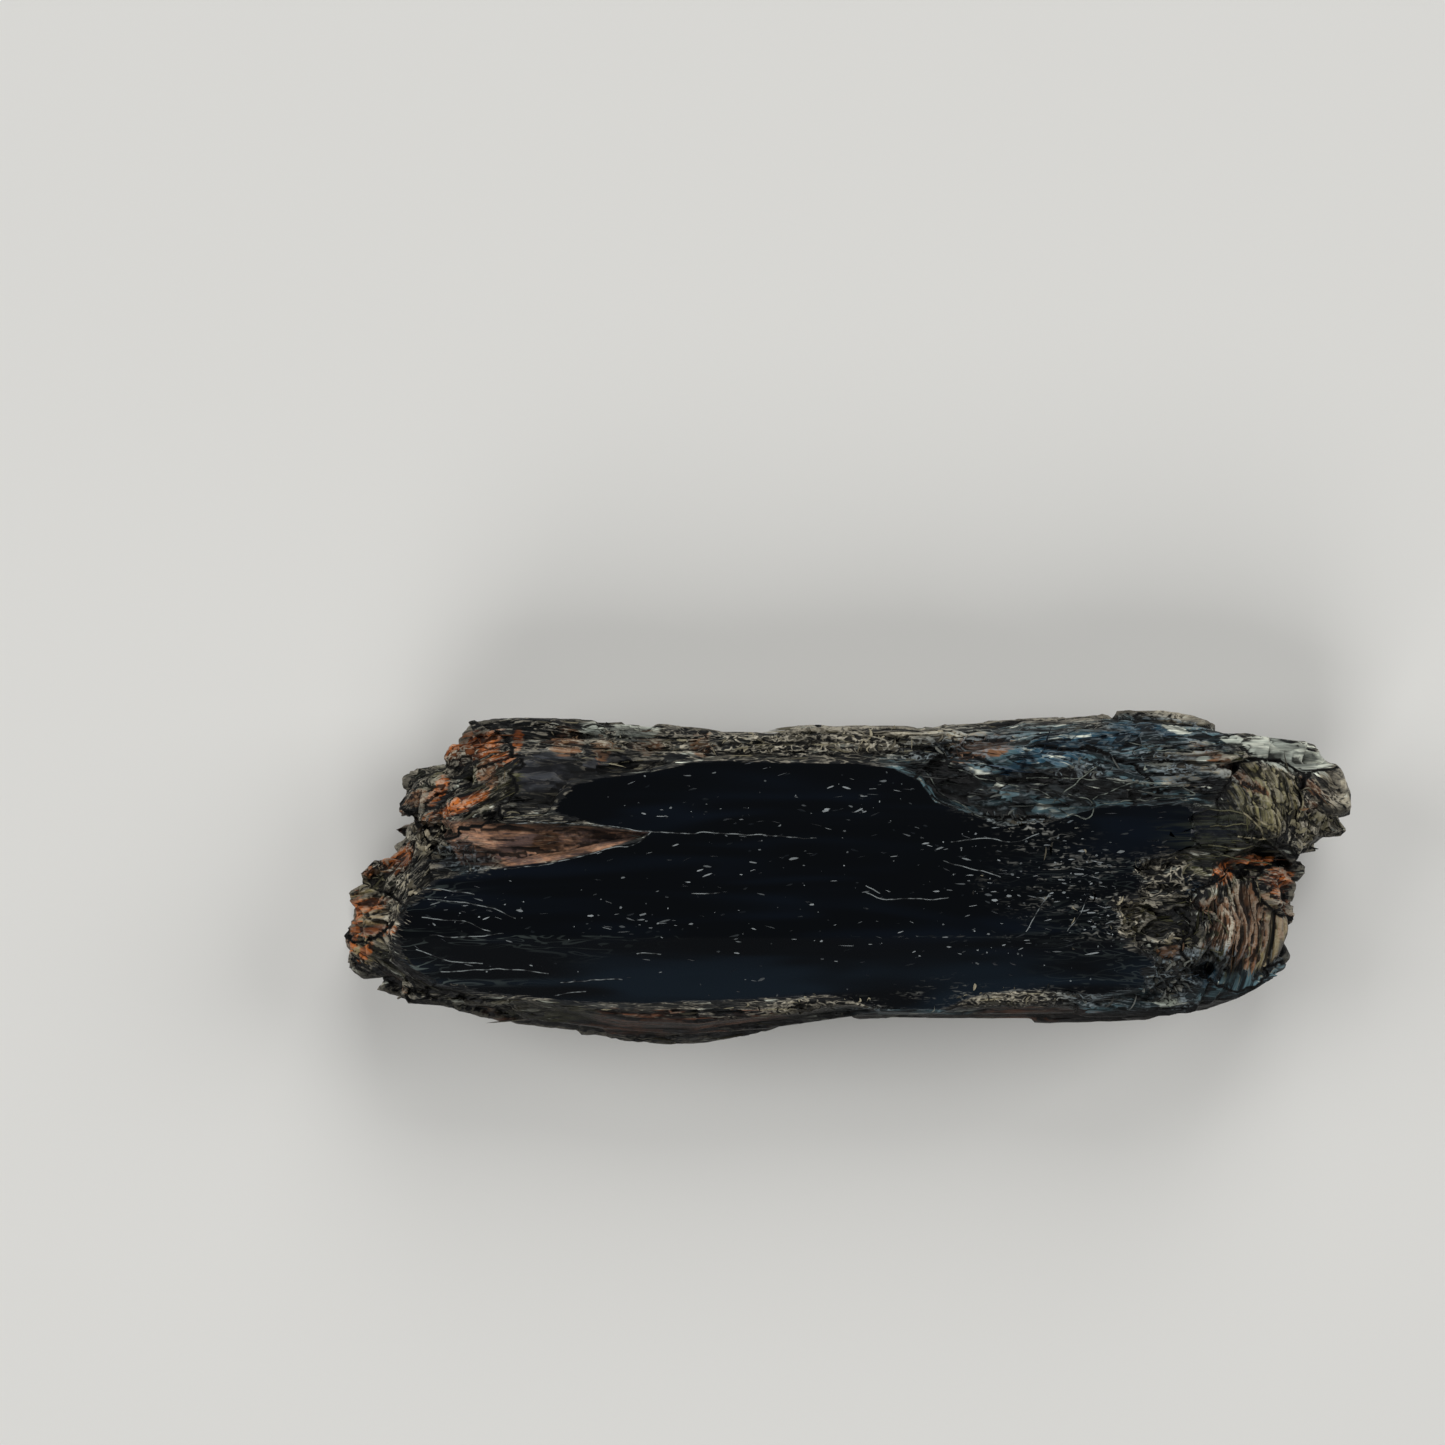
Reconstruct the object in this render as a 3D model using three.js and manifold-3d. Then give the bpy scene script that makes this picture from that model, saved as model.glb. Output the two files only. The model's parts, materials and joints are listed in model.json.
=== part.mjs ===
// A kyanite specimen with one polished window, as one closed solid.
//
// The stone is a bundle of flat blades that grew side by side along X. It is built the way it grew and
// broke: layers of cleavage, stacked in Z, give the body and its ledges; single blades lie along the flanks
// and end in broken tips; bent packs of plates end in terraces; and grinding then cuts the window flat.
//
// Millimetres, +Z up. The origin is the middle of the flat face that the stone rests on.

import * as THREE from "three";
import { mergeVertices } from "three/addons/utils/BufferGeometryUtils.js";
import Module from "manifold-3d";

// ---- Driving dimensions ----

const THICKNESS = 15; // from the resting face to the middle of the window
const GIRDLE = 7.6; // height at which the outline is widest
const WINDOW_DROP = 0.7; // how far the window falls away towards its long edges
const GROOVE_DEPTH = 1.1; // the rust-filled wedge in the window
const TROUGH_DEPTH = 1.0; // the hollow that runs out to the right end
const PIT_DEPTH = 0.9;

// The outline seen from above, at the girdle. Both long edges run from left to right.
const BACK_EDGE = [
  [-31.2, 13.0], [-28.7, 13.3], [-23.7, 13.3], [-19.5, 13.1], [-15.4, 13.2], [-10.4, 12.6],
  [-5.8, 12.1], [-3.8, 12.8], [-0.5, 12.6], [2.9, 12.8], [7.0, 12.7], [11.2, 13.0], [12.9, 13.5],
  [17.9, 13.4], [19.6, 13.7], [23.7, 14.1], [26.7, 14.0], [29.2, 13.6], [31.2, 12.8], [33.7, 11.9],
  [37.9, 11.4], [40.8, 10.8],
];
const FRONT_EDGE = [
  [-39.2, -9.4], [-37.1, -10.2], [-32.1, -11.0], [-30.4, -11.5], [-27.1, -12.6], [-25.4, -13.0],
  [-20.4, -13.3], [-17.1, -13.7], [-13.7, -14.1], [-10.4, -13.8], [-7.1, -13.0], [-2.1, -12.2],
  [2.9, -12.0], [6.5, -12.0], [9.6, -12.0], [13.7, -12.4], [17.9, -12.1], [22.1, -12.1],
  [24.6, -11.9], [27.1, -11.0], [29.6, -11.2], [31.9, -10.2], [33.7, -9.2],
];
const LEFT_END = [ // from the front edge round to the back edge
  [-41.2, -7.7], [-41.7, -6.5], [-42.1, -4.8], [-42.2, -2.7], [-41.2, -1.3], [-40.6, 0.2], [-38.9, 1.9],
  [-37.5, 2.9], [-36.7, 3.4], [-37.8, 3.9], [-35.4, 5.0], [-37.1, 5.2], [-37.6, 6.5], [-37.1, 8.1],
  [-35.8, 9.0], [-34.4, 9.1], [-33.3, 10.0], [-32.7, 11.3],
];
const RIGHT_END = [ // from the back edge round to the front edge
  [41.7, 9.4], [42.2, 7.7], [42.2, 5.6], [41.7, 3.8], [40.8, 2.9], [37.9, 1.7], [38.4, 0.6], [37.8, -0.2],
  [37.6, -1.9], [37.1, -2.9], [37.3, -4.8], [36.9, -6.5], [36.2, -7.7],
];

// The whole outline, counterclockwise, and a plainer one with half the points along the edges.
const ring = (front, back) => [
  ...front, ...RIGHT_END.toReversed(), ...back.toReversed(), ...LEFT_END.toReversed(),
];
const everySecond = (edge) => edge.filter((_, i) => i % 2 === 0);
const OUTLINE = ring(FRONT_EDGE, BACK_EDGE);
const BODY_OUTLINE = ring(everySecond(FRONT_EDGE), everySecond(BACK_EDGE));

// The edge of the polished window, counterclockwise from its left end.
const WINDOW = [
  [-36.7, -4.0], [-36.3, -6.4], [-34.0, -8.3], [-30.3, -9.1], [-23.4, -9.9], [-16.9, -10.1],
  [-12.0, -9.9], [-7.1, -9.7], [-1.5, -9.4], [2.6, -10.5], [7.5, -10.6], [11.2, -9.2], [15.6, -9.0],
  [20.5, -9.4], [24.6, -8.7], [24.7, -6.6], [23.1, -5.0], [23.4, 0.1], [22.9, 1.7], [27.8, 2.5],
  [28.6, 5.4], [27.0, 6.4], [20.5, 6.1], [17.3, 5.1], [12.4, 4.5], [10.3, 5.4], [7.1, 6.5],
  [5.9, 8.2], [3.8, 9.2], [1.0, 9.6], [-4.7, 9.7], [-9.6, 9.8], [-12.8, 9.7], [-16.1, 8.9],
  [-20.2, 8.4], [-22.2, 8.0], [-23.4, 6.8], [-24.0, 5.6], [-28.4, 4.9], [-30.0, 3.0],
  [-30.7, 0.7], [-33.2, 0.1], [-35.8, -1.9],
];

// ---- Solids ----

const wasm = await Module();
wasm.setup();

function solidFrom(geometry) {
  const bare = geometry.index ? geometry.toNonIndexed() : geometry.clone();
  bare.deleteAttribute("normal");
  bare.deleteAttribute("uv");
  const merged = mergeVertices(bare, 1e-4);
  return new wasm.Manifold(
    new wasm.Mesh({
      numProp: 3,
      vertProperties: merged.attributes.position.array,
      triVerts: new Uint32Array(merged.index.array),
    }),
  );
}

function geometryFrom(solid) {
  const mesh = solid.getMesh();
  return new THREE.BufferGeometry()
    .setAttribute("position", new THREE.BufferAttribute(mesh.vertProperties, 3))
    .setIndex(new THREE.BufferAttribute(mesh.triVerts, 1))
    .toNonIndexed();
}

const join = (solids) => solids.reduce((sum, solid) => sum.add(solid));

// The outer skin of a solid, without the pockets that joined blades enclose.
function outerSkin(solid) {
  const skins = solid.decompose();
  return skins.reduce((largest, skin) => (skin.volume() > largest.volume() ? skin : largest));
}

// Rings lie across an axis. `flat` drops that axis, so that the two end rings can be capped.
const across = {
  z: (p) => new THREE.Vector2(p.x, p.y),
  x: (p) => new THREE.Vector2(p.y, p.z),
};

// A closed skin through a stack of rings with equal numbers of points, counterclockwise about the axis.
function loft(rings, flat) {
  const count = rings[0].length;
  const last = (rings.length - 1) * count;
  const faces = [];
  for (let base = 0; base < last; base += count) {
    for (let i = 0; i < count; i++) {
      const a = base + i;
      const b = base + ((i + 1) % count);
      faces.push(a, b, b + count, a, b + count, a + count);
    }
  }
  for (const [a, b, c] of THREE.ShapeUtils.triangulateShape(rings[0].map(flat), [])) faces.push(c, b, a);
  for (const [a, b, c] of THREE.ShapeUtils.triangulateShape(rings.at(-1).map(flat), [])) {
    faces.push(last + a, last + b, last + c);
  }
  const geometry = new THREE.BufferGeometry().setFromPoints(rings.flat());
  geometry.setIndex(faces);
  return solidFrom(geometry);
}

// A repeatable stream of numbers from 0 to 1.
function numbersFrom(seed) {
  let state = seed;
  return () => {
    state = (state * 1664525 + 1013904223) % 4294967296;
    return state / 4294967296;
  };
}

const between = (low, high, share) => low + (high - low) * share;

// The y of an edge list at x.
function edgeAt(edge, x) {
  const next = edge.findIndex(([px]) => px > x);
  if (next < 1) return next === 0 ? edge[0][1] : edge.at(-1)[1];
  const [x0, y0] = edge[next - 1];
  const [x1, y1] = edge[next];
  return between(y0, y1, (x - x0) / (x1 - x0));
}

// ---- The body: layers of cleavage ----

// One level of a layer: the outline, drawn in at its two ends, front and back, with a wavering edge.
function level({ z, left, right, front, back, seed }) {
  return BODY_OUTLINE.map(([x, y]) => {
    const waver = 1 + 0.02 * Math.sin(0.45 * x + 2.1 * seed) + 0.012 * Math.sin(1.3 * x + seed);
    return new THREE.Vector3(x * (x < 0 ? left : right), y * (y < 0 ? front : back) * waver, z);
  });
}

// Each layer is given by its lower and its upper level. The shares draw the outline in towards the middle.
const LAYERS = [
  [
    { z: 0, left: 0.85, right: 0.87, front: 0.74, back: 0.72, seed: 1 },
    { z: 2.9, left: 0.93, right: 0.93, front: 0.88, back: 0.86, seed: 1 },
  ],
  [
    { z: 2.3, left: 0.92, right: 0.94, front: 0.9, back: 0.9, seed: 2 },
    { z: GIRDLE, left: 0.975, right: 0.965, front: 0.965, back: 0.955, seed: 2 },
  ],
  [
    { z: GIRDLE - 1.6, left: 0.965, right: 0.975, front: 0.96, back: 0.965, seed: 5 },
    { z: 11.2, left: 0.93, right: 0.93, front: 0.93, back: 0.89, seed: 5 },
  ],
  [
    { z: 10.6, left: 0.925, right: 0.84, front: 0.92, back: 0.88, seed: 8 },
    { z: 14.0, left: 0.87, right: 0.79, front: 0.84, back: 0.79, seed: 8 },
  ],
];

const body = () => join(LAYERS.map((levels) => loft(levels.map(level), across.z)));

// The plate that carries the window. It widens a little towards its foot.
function windowPlate() {
  const spread = 1.035;
  const foot = WINDOW.map(([x, y]) => new THREE.Vector3(x * spread, y * spread, THICKNESS - 2));
  const face = WINDOW.map(([x, y]) => new THREE.Vector3(x, y, THICKNESS + 1));
  return loft([foot, face], across.z);
}

// ---- Single blades ----

// A flat six-sided crystal along X, bent by `sweep` and `rise` from end to end, and leaning by `lean`
// about X. `taper` is the size of its two ends, and `chisel` slants them.
function blade({ from, to, y, z, width, height, ...bend }) {
  const { lean = 0, sweep = 0, rise = 0, taper = 0.5, chisel = 0.6 } = bend;
  const section = [
    [-0.5, 0], [-0.34, -0.5], [0.38, -0.5],
    [0.5, 0.05], [0.3, 0.5], [-0.4, 0.42],
  ];
  const stations = [
    { along: 0, size: taper },
    { along: 0.14, size: 1 },
    { along: 0.86, size: 0.96 },
    { along: 1, size: taper },
  ];
  const rings = stations.map(({ along, size }) => section.map(([u, v]) => {
    const out = u * width * size;
    const up = v * height * size;
    return new THREE.Vector3(
      between(from, to, along) + chisel * out,
      y + sweep * along + out * Math.cos(lean) - up * Math.sin(lean),
      z + rise * along + out * Math.sin(lean) + up * Math.cos(lean),
    );
  }));
  return loft(rings, across.x);
}

// How far a flank lies inside the outline at a height.
const flankInset = (z) => (z > GIRDLE ? 0.065 : 0.045) * (z - GIRDLE) ** 2;

// Blades that clothe a long flank. Golden-ratio steps spread their heights evenly.
function flankBlades({ edge, side, count, seed, low, high, x0, x1 }) {
  const random = numbersFrom(seed);
  return Array.from({ length: count }, (_, i) => {
    const middle = between(x0, x1, (i + random()) / count);
    const half = between(3.5, 8.5, random());
    const [from, to] = [middle - half, middle + half];
    const z = between(low, high, (i * 0.618) % 1);
    const width = between(2.6, 4.6, random());
    const height = between(1.3, 2.2, random());
    // Some lie with their flat face on the flank, some stand out edge first.
    const lean = i % 3 === 0 ? between(0.1, 0.5, random()) : between(1.0, 1.45, random());
    const reach = (width * Math.cos(lean) + height * Math.sin(lean)) / 2;
    const inset = flankInset(z) + reach - between(0.1, 0.55, random());
    const fall = edgeAt(edge, to) - edgeAt(edge, from);
    return blade({
      from, to, z, width, height,
      y: edgeAt(edge, middle) - side * inset - fall / 2,
      sweep: fall,
      rise: between(-0.8, 0.8, random()),
      lean: side * lean * (z < GIRDLE ? 1 : -1),
      chisel: between(-0.8, 0.8, random()),
    });
  });
}

// Broken blades that make the ragged ends, each running back into the body from its tip.
function endBlades({ side, tips, seed }) {
  const random = numbersFrom(seed);
  return tips.map(([tip, y, z, width, height]) => {
    const chisel = between(-1.1, 1.1, random());
    const taper = between(0.6, 0.95, random());
    const end = tip - side * 0.5 * taper * width * Math.abs(chisel);
    const root = end - side * between(8, 12, random());
    const [from, to] = side > 0 ? [root, end] : [end, root];
    return blade({
      from, to, y, z, width, height, taper, chisel,
      lean: between(-0.35, 0.35, random()),
      rise: side * between(-1.1, 0.1, random()),
      sweep: between(-0.4, 0.4, random()),
    });
  });
}

// The tip's x, y and z, and the width and height, of each broken blade
const LEFT_TIPS = [
  [-31.4, 11.0, 9.6, 5.0, 2.6], [-33.4, 9.3, 11.6, 4.4, 2.0], [-30.9, 8.5, 13.4, 5.0, 1.7],
  [-32.4, 10.6, 6.6, 5.4, 2.8], [-37.6, 6.9, 9.0, 4.2, 2.6], [-37.0, 7.3, 5.4, 4.8, 2.6],
  [-35.6, 6.3, 11.4, 4.6, 1.9], [-32.2, 6.1, 13.5, 3.4, 1.5], [-38.2, 4.0, 7.6, 1.5, 2.6],
  [-36.6, 3.4, 10.4, 3.4, 1.8], [-34.4, 2.4, 12.9, 3.6, 1.6], [-40.6, -0.4, 8.2, 4.4, 2.2],
  [-38.6, -0.8, 10.6, 5.0, 1.9], [-36.7, 0.0, 13.1, 4.2, 1.4], [-42.4, -3.9, 6.6, 5.2, 2.5],
  [-41.3, -2.6, 9.8, 4.4, 1.8], [-41.6, -4.6, 3.9, 5.4, 2.8], [-39.9, -4.4, 12.0, 5.2, 1.7],
  [-41.7, -6.3, 8.6, 4.8, 2.1], [-40.2, -7.0, 10.9, 4.6, 1.8], [-38.1, -6.0, 13.5, 4.4, 1.3],
  [-39.4, -8.2, 7.0, 4.6, 2.6], [-37.0, -8.4, 12.3, 3.8, 1.7], [-38.6, 0.8, 4.6, 5.4, 2.6],
];
const RIGHT_TIPS = [
  [40.8, 9.5, 9.2, 4.2, 2.5], [38.3, 10.0, 11.4, 4.4, 1.9], [34.8, 10.4, 13.1, 4.0, 1.6],
  [42.4, 7.4, 7.2, 5.2, 2.7], [41.2, 7.2, 11.2, 4.6, 1.9], [42.0, 5.4, 9.4, 4.4, 2.1],
  [41.2, 4.9, 5.9, 4.4, 2.5], [40.6, 7.2, 4.2, 5.4, 2.6], [39.3, 3.3, 10.4, 3.6, 1.8],
  [38.4, 0.6, 8.4, 2.2, 1.8], [37.2, 1.1, 11.1, 3.6, 1.6], [37.9, -1.2, 6.6, 3.8, 2.3],
  [36.2, -1.2, 11.6, 3.9, 1.6], [37.3, -3.9, 8.4, 4.6, 2.2], [37.1, -5.3, 5.6, 4.8, 2.5],
  [36.2, -6.4, 9.8, 4.4, 1.9], [34.5, -8.0, 8.0, 4.2, 2.5], [32.4, -9.0, 11.2, 3.9, 1.8],
  [29.9, -9.6, 12.9, 3.8, 1.4], [35.0, -5.0, 3.3, 5.0, 2.6],
];

// Blades that crop out: one at the bulge in front, the rest on the rough shoulder behind the window.
const OUTCROPS = [
  { from: -21.5, to: -6.0, y: -12.3, z: 7.4, width: 3.9, height: 2.6, lean: 0.05, sweep: 0.2 },
  { from: -30.2, to: -16.8, y: 10.0, z: 13.1, width: 3.2, height: 1.8, lean: -0.35, sweep: 0.5 },
  { from: -21.0, to: -9.4, y: 11.2, z: 12.3, width: 2.6, height: 1.7, lean: -0.6, sweep: -0.3 },
  { from: -13.2, to: 2.4, y: 10.9, z: 12.7, width: 2.4, height: 1.5, lean: -0.5, sweep: 0.1 },
  { from: -4.2, to: 9.8, y: 11.0, z: 12.9, width: 2.6, height: 1.6, lean: -0.3, sweep: 0.4 },
  { from: 5.6, to: 20.0, y: 9.2, z: 13.6, width: 2.8, height: 1.4, lean: -0.2, sweep: 0.8 },
  { from: 10.2, to: 26.6, y: 7.1, z: 13.8, width: 2.4, height: 1.3, lean: 0.15, sweep: 0.3 },
  { from: 14.8, to: 33.4, y: 11.2, z: 12.9, width: 3.0, height: 1.9, lean: -0.45, sweep: -0.7 },
  { from: 18.6, to: 31.0, y: 8.8, z: 13.7, width: 2.6, height: 1.6, lean: -0.15, sweep: -0.6 },
];

// ---- Bent packs of plates ----

// Nested plates, seen end on as arcs about one centre, that step down and outwards. Each is a little off.
function terraces({ x, y, radii, top, bottom, startAngle, endAngle, foot }) {
  const segments = 6;
  return radii.map((radius, i) => {
    const height = between(top, bottom, i / (radii.length - 1));
    const turn = 0.09 * Math.sin(2.6 * i);
    const centre = [x + 0.22 * Math.sin(1.9 * i), y + 0.3 * Math.cos(2.3 * i)];
    const pie = (reach, z, crown) => [
      new THREE.Vector3(...centre, z + crown),
      ...Array.from({ length: segments + 1 }, (_, k) => {
        const angle = between(startAngle, endAngle, k / segments) + turn;
        const lobe = reach * (1 + 0.04 * Math.sin(3 * angle + i));
        const [dx, dy] = [lobe * Math.cos(angle), lobe * Math.sin(angle)];
        return new THREE.Vector3(centre[0] + dx, centre[1] + dy, z);
      }),
    ];
    return loft([pie(radius + 0.2, foot, 0), pie(radius - 0.1, height, 0.25)], across.z);
  });
}

const degrees = THREE.MathUtils.degToRad;
const UPPER_PACK = {
  x: 33.2, y: 4.4, radii: [1.6, 2.4, 3.0, 3.8, 4.5, 5.1],
  top: 14.4, bottom: 12.0, foot: 9,
  startAngle: degrees(-38), endAngle: degrees(112),
};
const LOWER_PACK = {
  x: 28.2, y: -4.2, radii: [2.2, 3.4, 4.3, 5.1, 6.2, 7.1, 8.2],
  top: 14.1, bottom: 10.4, foot: 8,
  startAngle: degrees(-50), endAngle: degrees(46),
};

// ---- What is cut away ----

// A long ditch with a flat floor, given by [x, y, half width] along its course.
function ditch(course, depth, flare = 1.5) {
  const rings = course.map(([x, y, half]) => [
    new THREE.Vector3(x, y - half, THICKNESS - depth),
    new THREE.Vector3(x, y + half, THICKNESS - depth),
    new THREE.Vector3(x, y + half * flare + depth, THICKNESS + 2),
    new THREE.Vector3(x, y - half * flare - depth, THICKNESS + 2),
  ]);
  return loft(rings, across.x);
}

const GROOVE = [
  [-38.5, 2.6, 1.7], [-33.0, 3.0, 1.5], [-28.0, 3.1, 1.25], [-20.2, 3.7, 0.35], [-16.0, 4.0, 0.02],
];
const TROUGH = [[17.0, 4.4, 0.2], [22.0, 4.4, 0.9], [27.0, 4.4, 1.4], [33.5, 4.1, 1.0]];
const PIT = [[20.8, -3.0, 0.2], [22.6, -3.1, 0.8], [26.6, -2.9, 0.9], [28.6, -2.8, 0.3]];

// The grinding wheel leaves a flat in the middle and two long facets that fall away from it.
function grinding() {
  const reach = 50;
  const flat = 4.5; // half the width of the middle facet
  const rings = [-reach, reach].map((x) => [
    new THREE.Vector3(x, -15, THICKNESS - 2.6 * WINDOW_DROP),
    new THREE.Vector3(x, -flat, THICKNESS),
    new THREE.Vector3(x, flat, THICKNESS),
    new THREE.Vector3(x, 15, THICKNESS - 2.2 * WINDOW_DROP),
    new THREE.Vector3(x, 20, THICKNESS + 9),
    new THREE.Vector3(x, -20, THICKNESS + 9),
  ]);
  return loft(rings, across.x);
}

// Everything outside the outline, or below the resting face, is trimmed off.
function envelope() {
  const at = (z) => OUTLINE.map(([x, y]) => new THREE.Vector3(x, y, z));
  return loft([at(0), at(THICKNESS + 2)], across.z);
}

// ---- The stone ----

const BACK_FLANK = {
  edge: BACK_EDGE, side: 1, count: 20, seed: 11,
  low: 1.6, high: 12.4, x0: -28, x1: 35,
};
const FRONT_FLANK = {
  edge: FRONT_EDGE, side: -1, count: 20, seed: 29,
  low: 1.6, high: 13, x0: -35, x1: 30,
};

function stoneSolid() {
  const grown = join([
    body(),
    windowPlate(),
    ...OUTCROPS.map(blade),
    ...flankBlades(BACK_FLANK),
    ...flankBlades(FRONT_FLANK),
    ...endBlades({ side: -1, tips: LEFT_TIPS, seed: 7 }),
    ...endBlades({ side: 1, tips: RIGHT_TIPS, seed: 3 }),
    ...terraces(UPPER_PACK),
    ...terraces(LOWER_PACK),
  ]);
  // Slivers and edges finer than 0.08 mm are closed up.
  return outerSkin(grown.simplify(0.08))
    .subtract(ditch(GROOVE, GROOVE_DEPTH))
    .subtract(ditch(TROUGH, TROUGH_DEPTH))
    .subtract(ditch(PIT, PIT_DEPTH))
    .subtract(grinding())
    .intersect(envelope());
}

const kyanite = new THREE.MeshStandardMaterial({ color: 0x1d2126, roughness: 0.45, metalness: 0 });

const stone = new THREE.Mesh(geometryFrom(stoneSolid()), kyanite);
stone.name = "kyanite_stone";
stone.geometry.computeVertexNormals();

const specimen = new THREE.Group();
specimen.add(stone);

export default specimen;
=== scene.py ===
# %% [markdown]
# # A kyanite seer stone
#
# Kyanite grows as bundles of long flat blades. This stone is one such bundle, broken off at both ends. One
# face has been ground and polished into a dark window to gaze into, and everything else is left rough.
#
# We dress a plain CAD solid. The solid gives the size and the main facets. Blender adds what a solid can't
# hold: ragged relief, loose splinters and crumbs, bent packs of plates, rust, silver flecks and hairlines.
# Lengths are worked out in millimetres and turned into Blender's metres at the last moment.

import json
import math

import bmesh
import bpy
import numpy as np
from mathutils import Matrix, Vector

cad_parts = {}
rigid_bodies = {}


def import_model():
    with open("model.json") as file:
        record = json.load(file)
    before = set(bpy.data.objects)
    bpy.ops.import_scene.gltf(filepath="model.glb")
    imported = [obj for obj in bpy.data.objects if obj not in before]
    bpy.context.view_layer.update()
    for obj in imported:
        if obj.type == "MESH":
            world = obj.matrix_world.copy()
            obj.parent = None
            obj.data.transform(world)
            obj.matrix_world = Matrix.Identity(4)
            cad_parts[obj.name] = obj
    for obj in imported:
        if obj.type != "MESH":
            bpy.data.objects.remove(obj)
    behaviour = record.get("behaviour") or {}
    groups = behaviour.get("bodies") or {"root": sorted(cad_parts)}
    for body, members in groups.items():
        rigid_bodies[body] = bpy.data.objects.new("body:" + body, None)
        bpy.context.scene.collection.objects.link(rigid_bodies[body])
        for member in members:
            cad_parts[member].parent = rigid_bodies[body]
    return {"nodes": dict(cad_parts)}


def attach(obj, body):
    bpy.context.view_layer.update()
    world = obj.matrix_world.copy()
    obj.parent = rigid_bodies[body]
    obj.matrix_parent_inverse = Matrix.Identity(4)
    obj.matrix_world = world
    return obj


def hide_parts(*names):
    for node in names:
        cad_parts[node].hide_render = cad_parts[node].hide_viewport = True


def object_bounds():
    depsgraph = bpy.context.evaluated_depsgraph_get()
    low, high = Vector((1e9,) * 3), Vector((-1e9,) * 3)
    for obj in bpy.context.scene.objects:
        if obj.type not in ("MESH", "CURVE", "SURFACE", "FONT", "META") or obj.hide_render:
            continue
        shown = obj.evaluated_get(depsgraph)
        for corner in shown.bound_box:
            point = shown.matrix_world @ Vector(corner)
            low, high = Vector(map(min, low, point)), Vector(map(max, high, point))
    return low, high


MM = 0.001
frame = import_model()
CAD_BOX = [list(corner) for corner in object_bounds()]
print("The solid measures", [round((b - a) / MM, 1) for a, b in zip(*CAD_BOX)], "mm")

# %% [markdown]
# ## Where the camera stands
#
# A camera could be aimed with a constraint, but a fixed place is easier to reason about. This one hangs
# 300 mm above the table and looks straight down, a little to the left of the stone and behind it, so the
# stone sits low and right of the middle. A lens of 87 mm makes 12 pixels of a millimetre at mid height.

# %% Camera
SENSOR, CAMERA_HEIGHT, MID_HEIGHT = 36, 300, 8
PIXELS_PER_MM, FRAME_PIXELS = 12, 1445
camera = bpy.data.objects.new("camera", bpy.data.cameras.new("camera"))
bpy.context.scene.collection.objects.link(camera)
bpy.context.scene.camera = camera
camera.location = (-10.2 * MM, 12.9 * MM, CAMERA_HEIGHT * MM)
camera.data.sensor_width = SENSOR
camera.data.lens = SENSOR * PIXELS_PER_MM * (CAMERA_HEIGHT - MID_HEIGHT) / FRAME_PIXELS
camera.data.clip_start = 0.01
camera.data.clip_end = 10
print("Lens", round(camera.data.lens, 1), "mm")

# %% [markdown]
# ## Numbers that look like stone
#
# Noise textures could shape the stone as Displace modifiers, but broken crystals need flat cells with sharp
# steps, and we also want to reuse the numbers for colour. So we write three small noises in numpy. `chance`
# gives every whole-number cell its own random numbers. `clouds` blends them smoothly. `crystals` finds the
# two nearest of the points scattered in space: the nearest one names the crystal that a place belongs to,
# and the lead over the second tells how far it is from the crystal's edge.

# %% Noises
def chance(cells, salt):
    """A number from 0 to 1 for each whole-number cell, the same at every run."""
    cells = cells.astype(np.int64)
    mixed = cells[..., 0] * 374761393 + cells[..., 1] * 668265263 + cells[..., 2] * 2147483647
    mixed = mixed + salt * 974634777
    mixed = (mixed ^ (mixed >> 13)) * 1274126177
    mixed = mixed ^ (mixed >> 16)
    return (mixed & 0xFFFFF) / 0x100000


def clouds(points, salt=0, octaves=3):
    """Soft noise from -1 to 1 with a feature size of one unit."""
    total, weight = np.zeros(len(points)), 0
    for octave in range(octaves):
        scaled = points * 2**octave + 17.3 * octave
        corner = np.floor(scaled)
        part = scaled - corner
        ease = part * part * (3 - 2 * part)
        value = np.zeros(len(points))
        for step in np.ndindex(2, 2, 2):
            share = np.prod(np.where(step, ease, 1 - ease), axis=1)
            value += share * chance(corner + step, salt + octave)
        total += (2 * value - 1) / 2**octave
        weight += 1 / 2**octave
    return total / weight


def crystals(points, salt=0):
    """For each point its crystal's four random numbers, its place in it, and its lead over the next one."""
    home = np.floor(points)
    best = np.full(len(points), 9.0)
    second = best.copy()
    cell = home.copy()
    place = np.zeros_like(points)
    for step in np.ndindex(3, 3, 3):
        here = home + step - 1
        seed = here + np.stack([chance(here, salt + axis) for axis in range(3)], axis=1)
        away = points - seed
        distance = np.linalg.norm(away, axis=1)
        nearer = distance < best
        second = np.where(nearer, best, np.minimum(second, distance))
        best = np.where(nearer, distance, best)
        cell[nearer], place[nearer] = here[nearer], away[nearer]
    numbers = np.stack([chance(cell, salt + 7 + k) for k in range(4)], axis=1)
    return numbers, place, second - best


def ramp(low, high, value):
    """0 below low, 1 above high, and a soft step between."""
    share = np.clip((value - low) / (high - low), 0, 1)
    return share * share * (3 - 2 * share)


trial = np.random.default_rng(1).uniform(-20, 20, (4000, 3))
print("Clouds run from", clouds(trial).min().round(2), "to", clouds(trial).max().round(2))

# %% [markdown]
# ## The rough body
#
# The CAD solid has large flat facets. To carry finer relief it needs an even net of small faces. A
# Subdivision Surface would round its corners, so a Voxel Remesh is the better tool: it wraps the solid in
# small squares, whatever the facets underneath. We work on a copy, merge its loose triangles first, and
# never touch the CAD mesh itself.

# %% Wrap the solid in small squares
VOXEL = 0.2


def plain_mesh(thing, name):
    """The thing's mesh with its modifiers worked in."""
    evaluated = thing.evaluated_get(bpy.context.evaluated_depsgraph_get())
    mesh = bpy.data.meshes.new_from_object(evaluated)
    mesh.name = name
    return mesh


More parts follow.
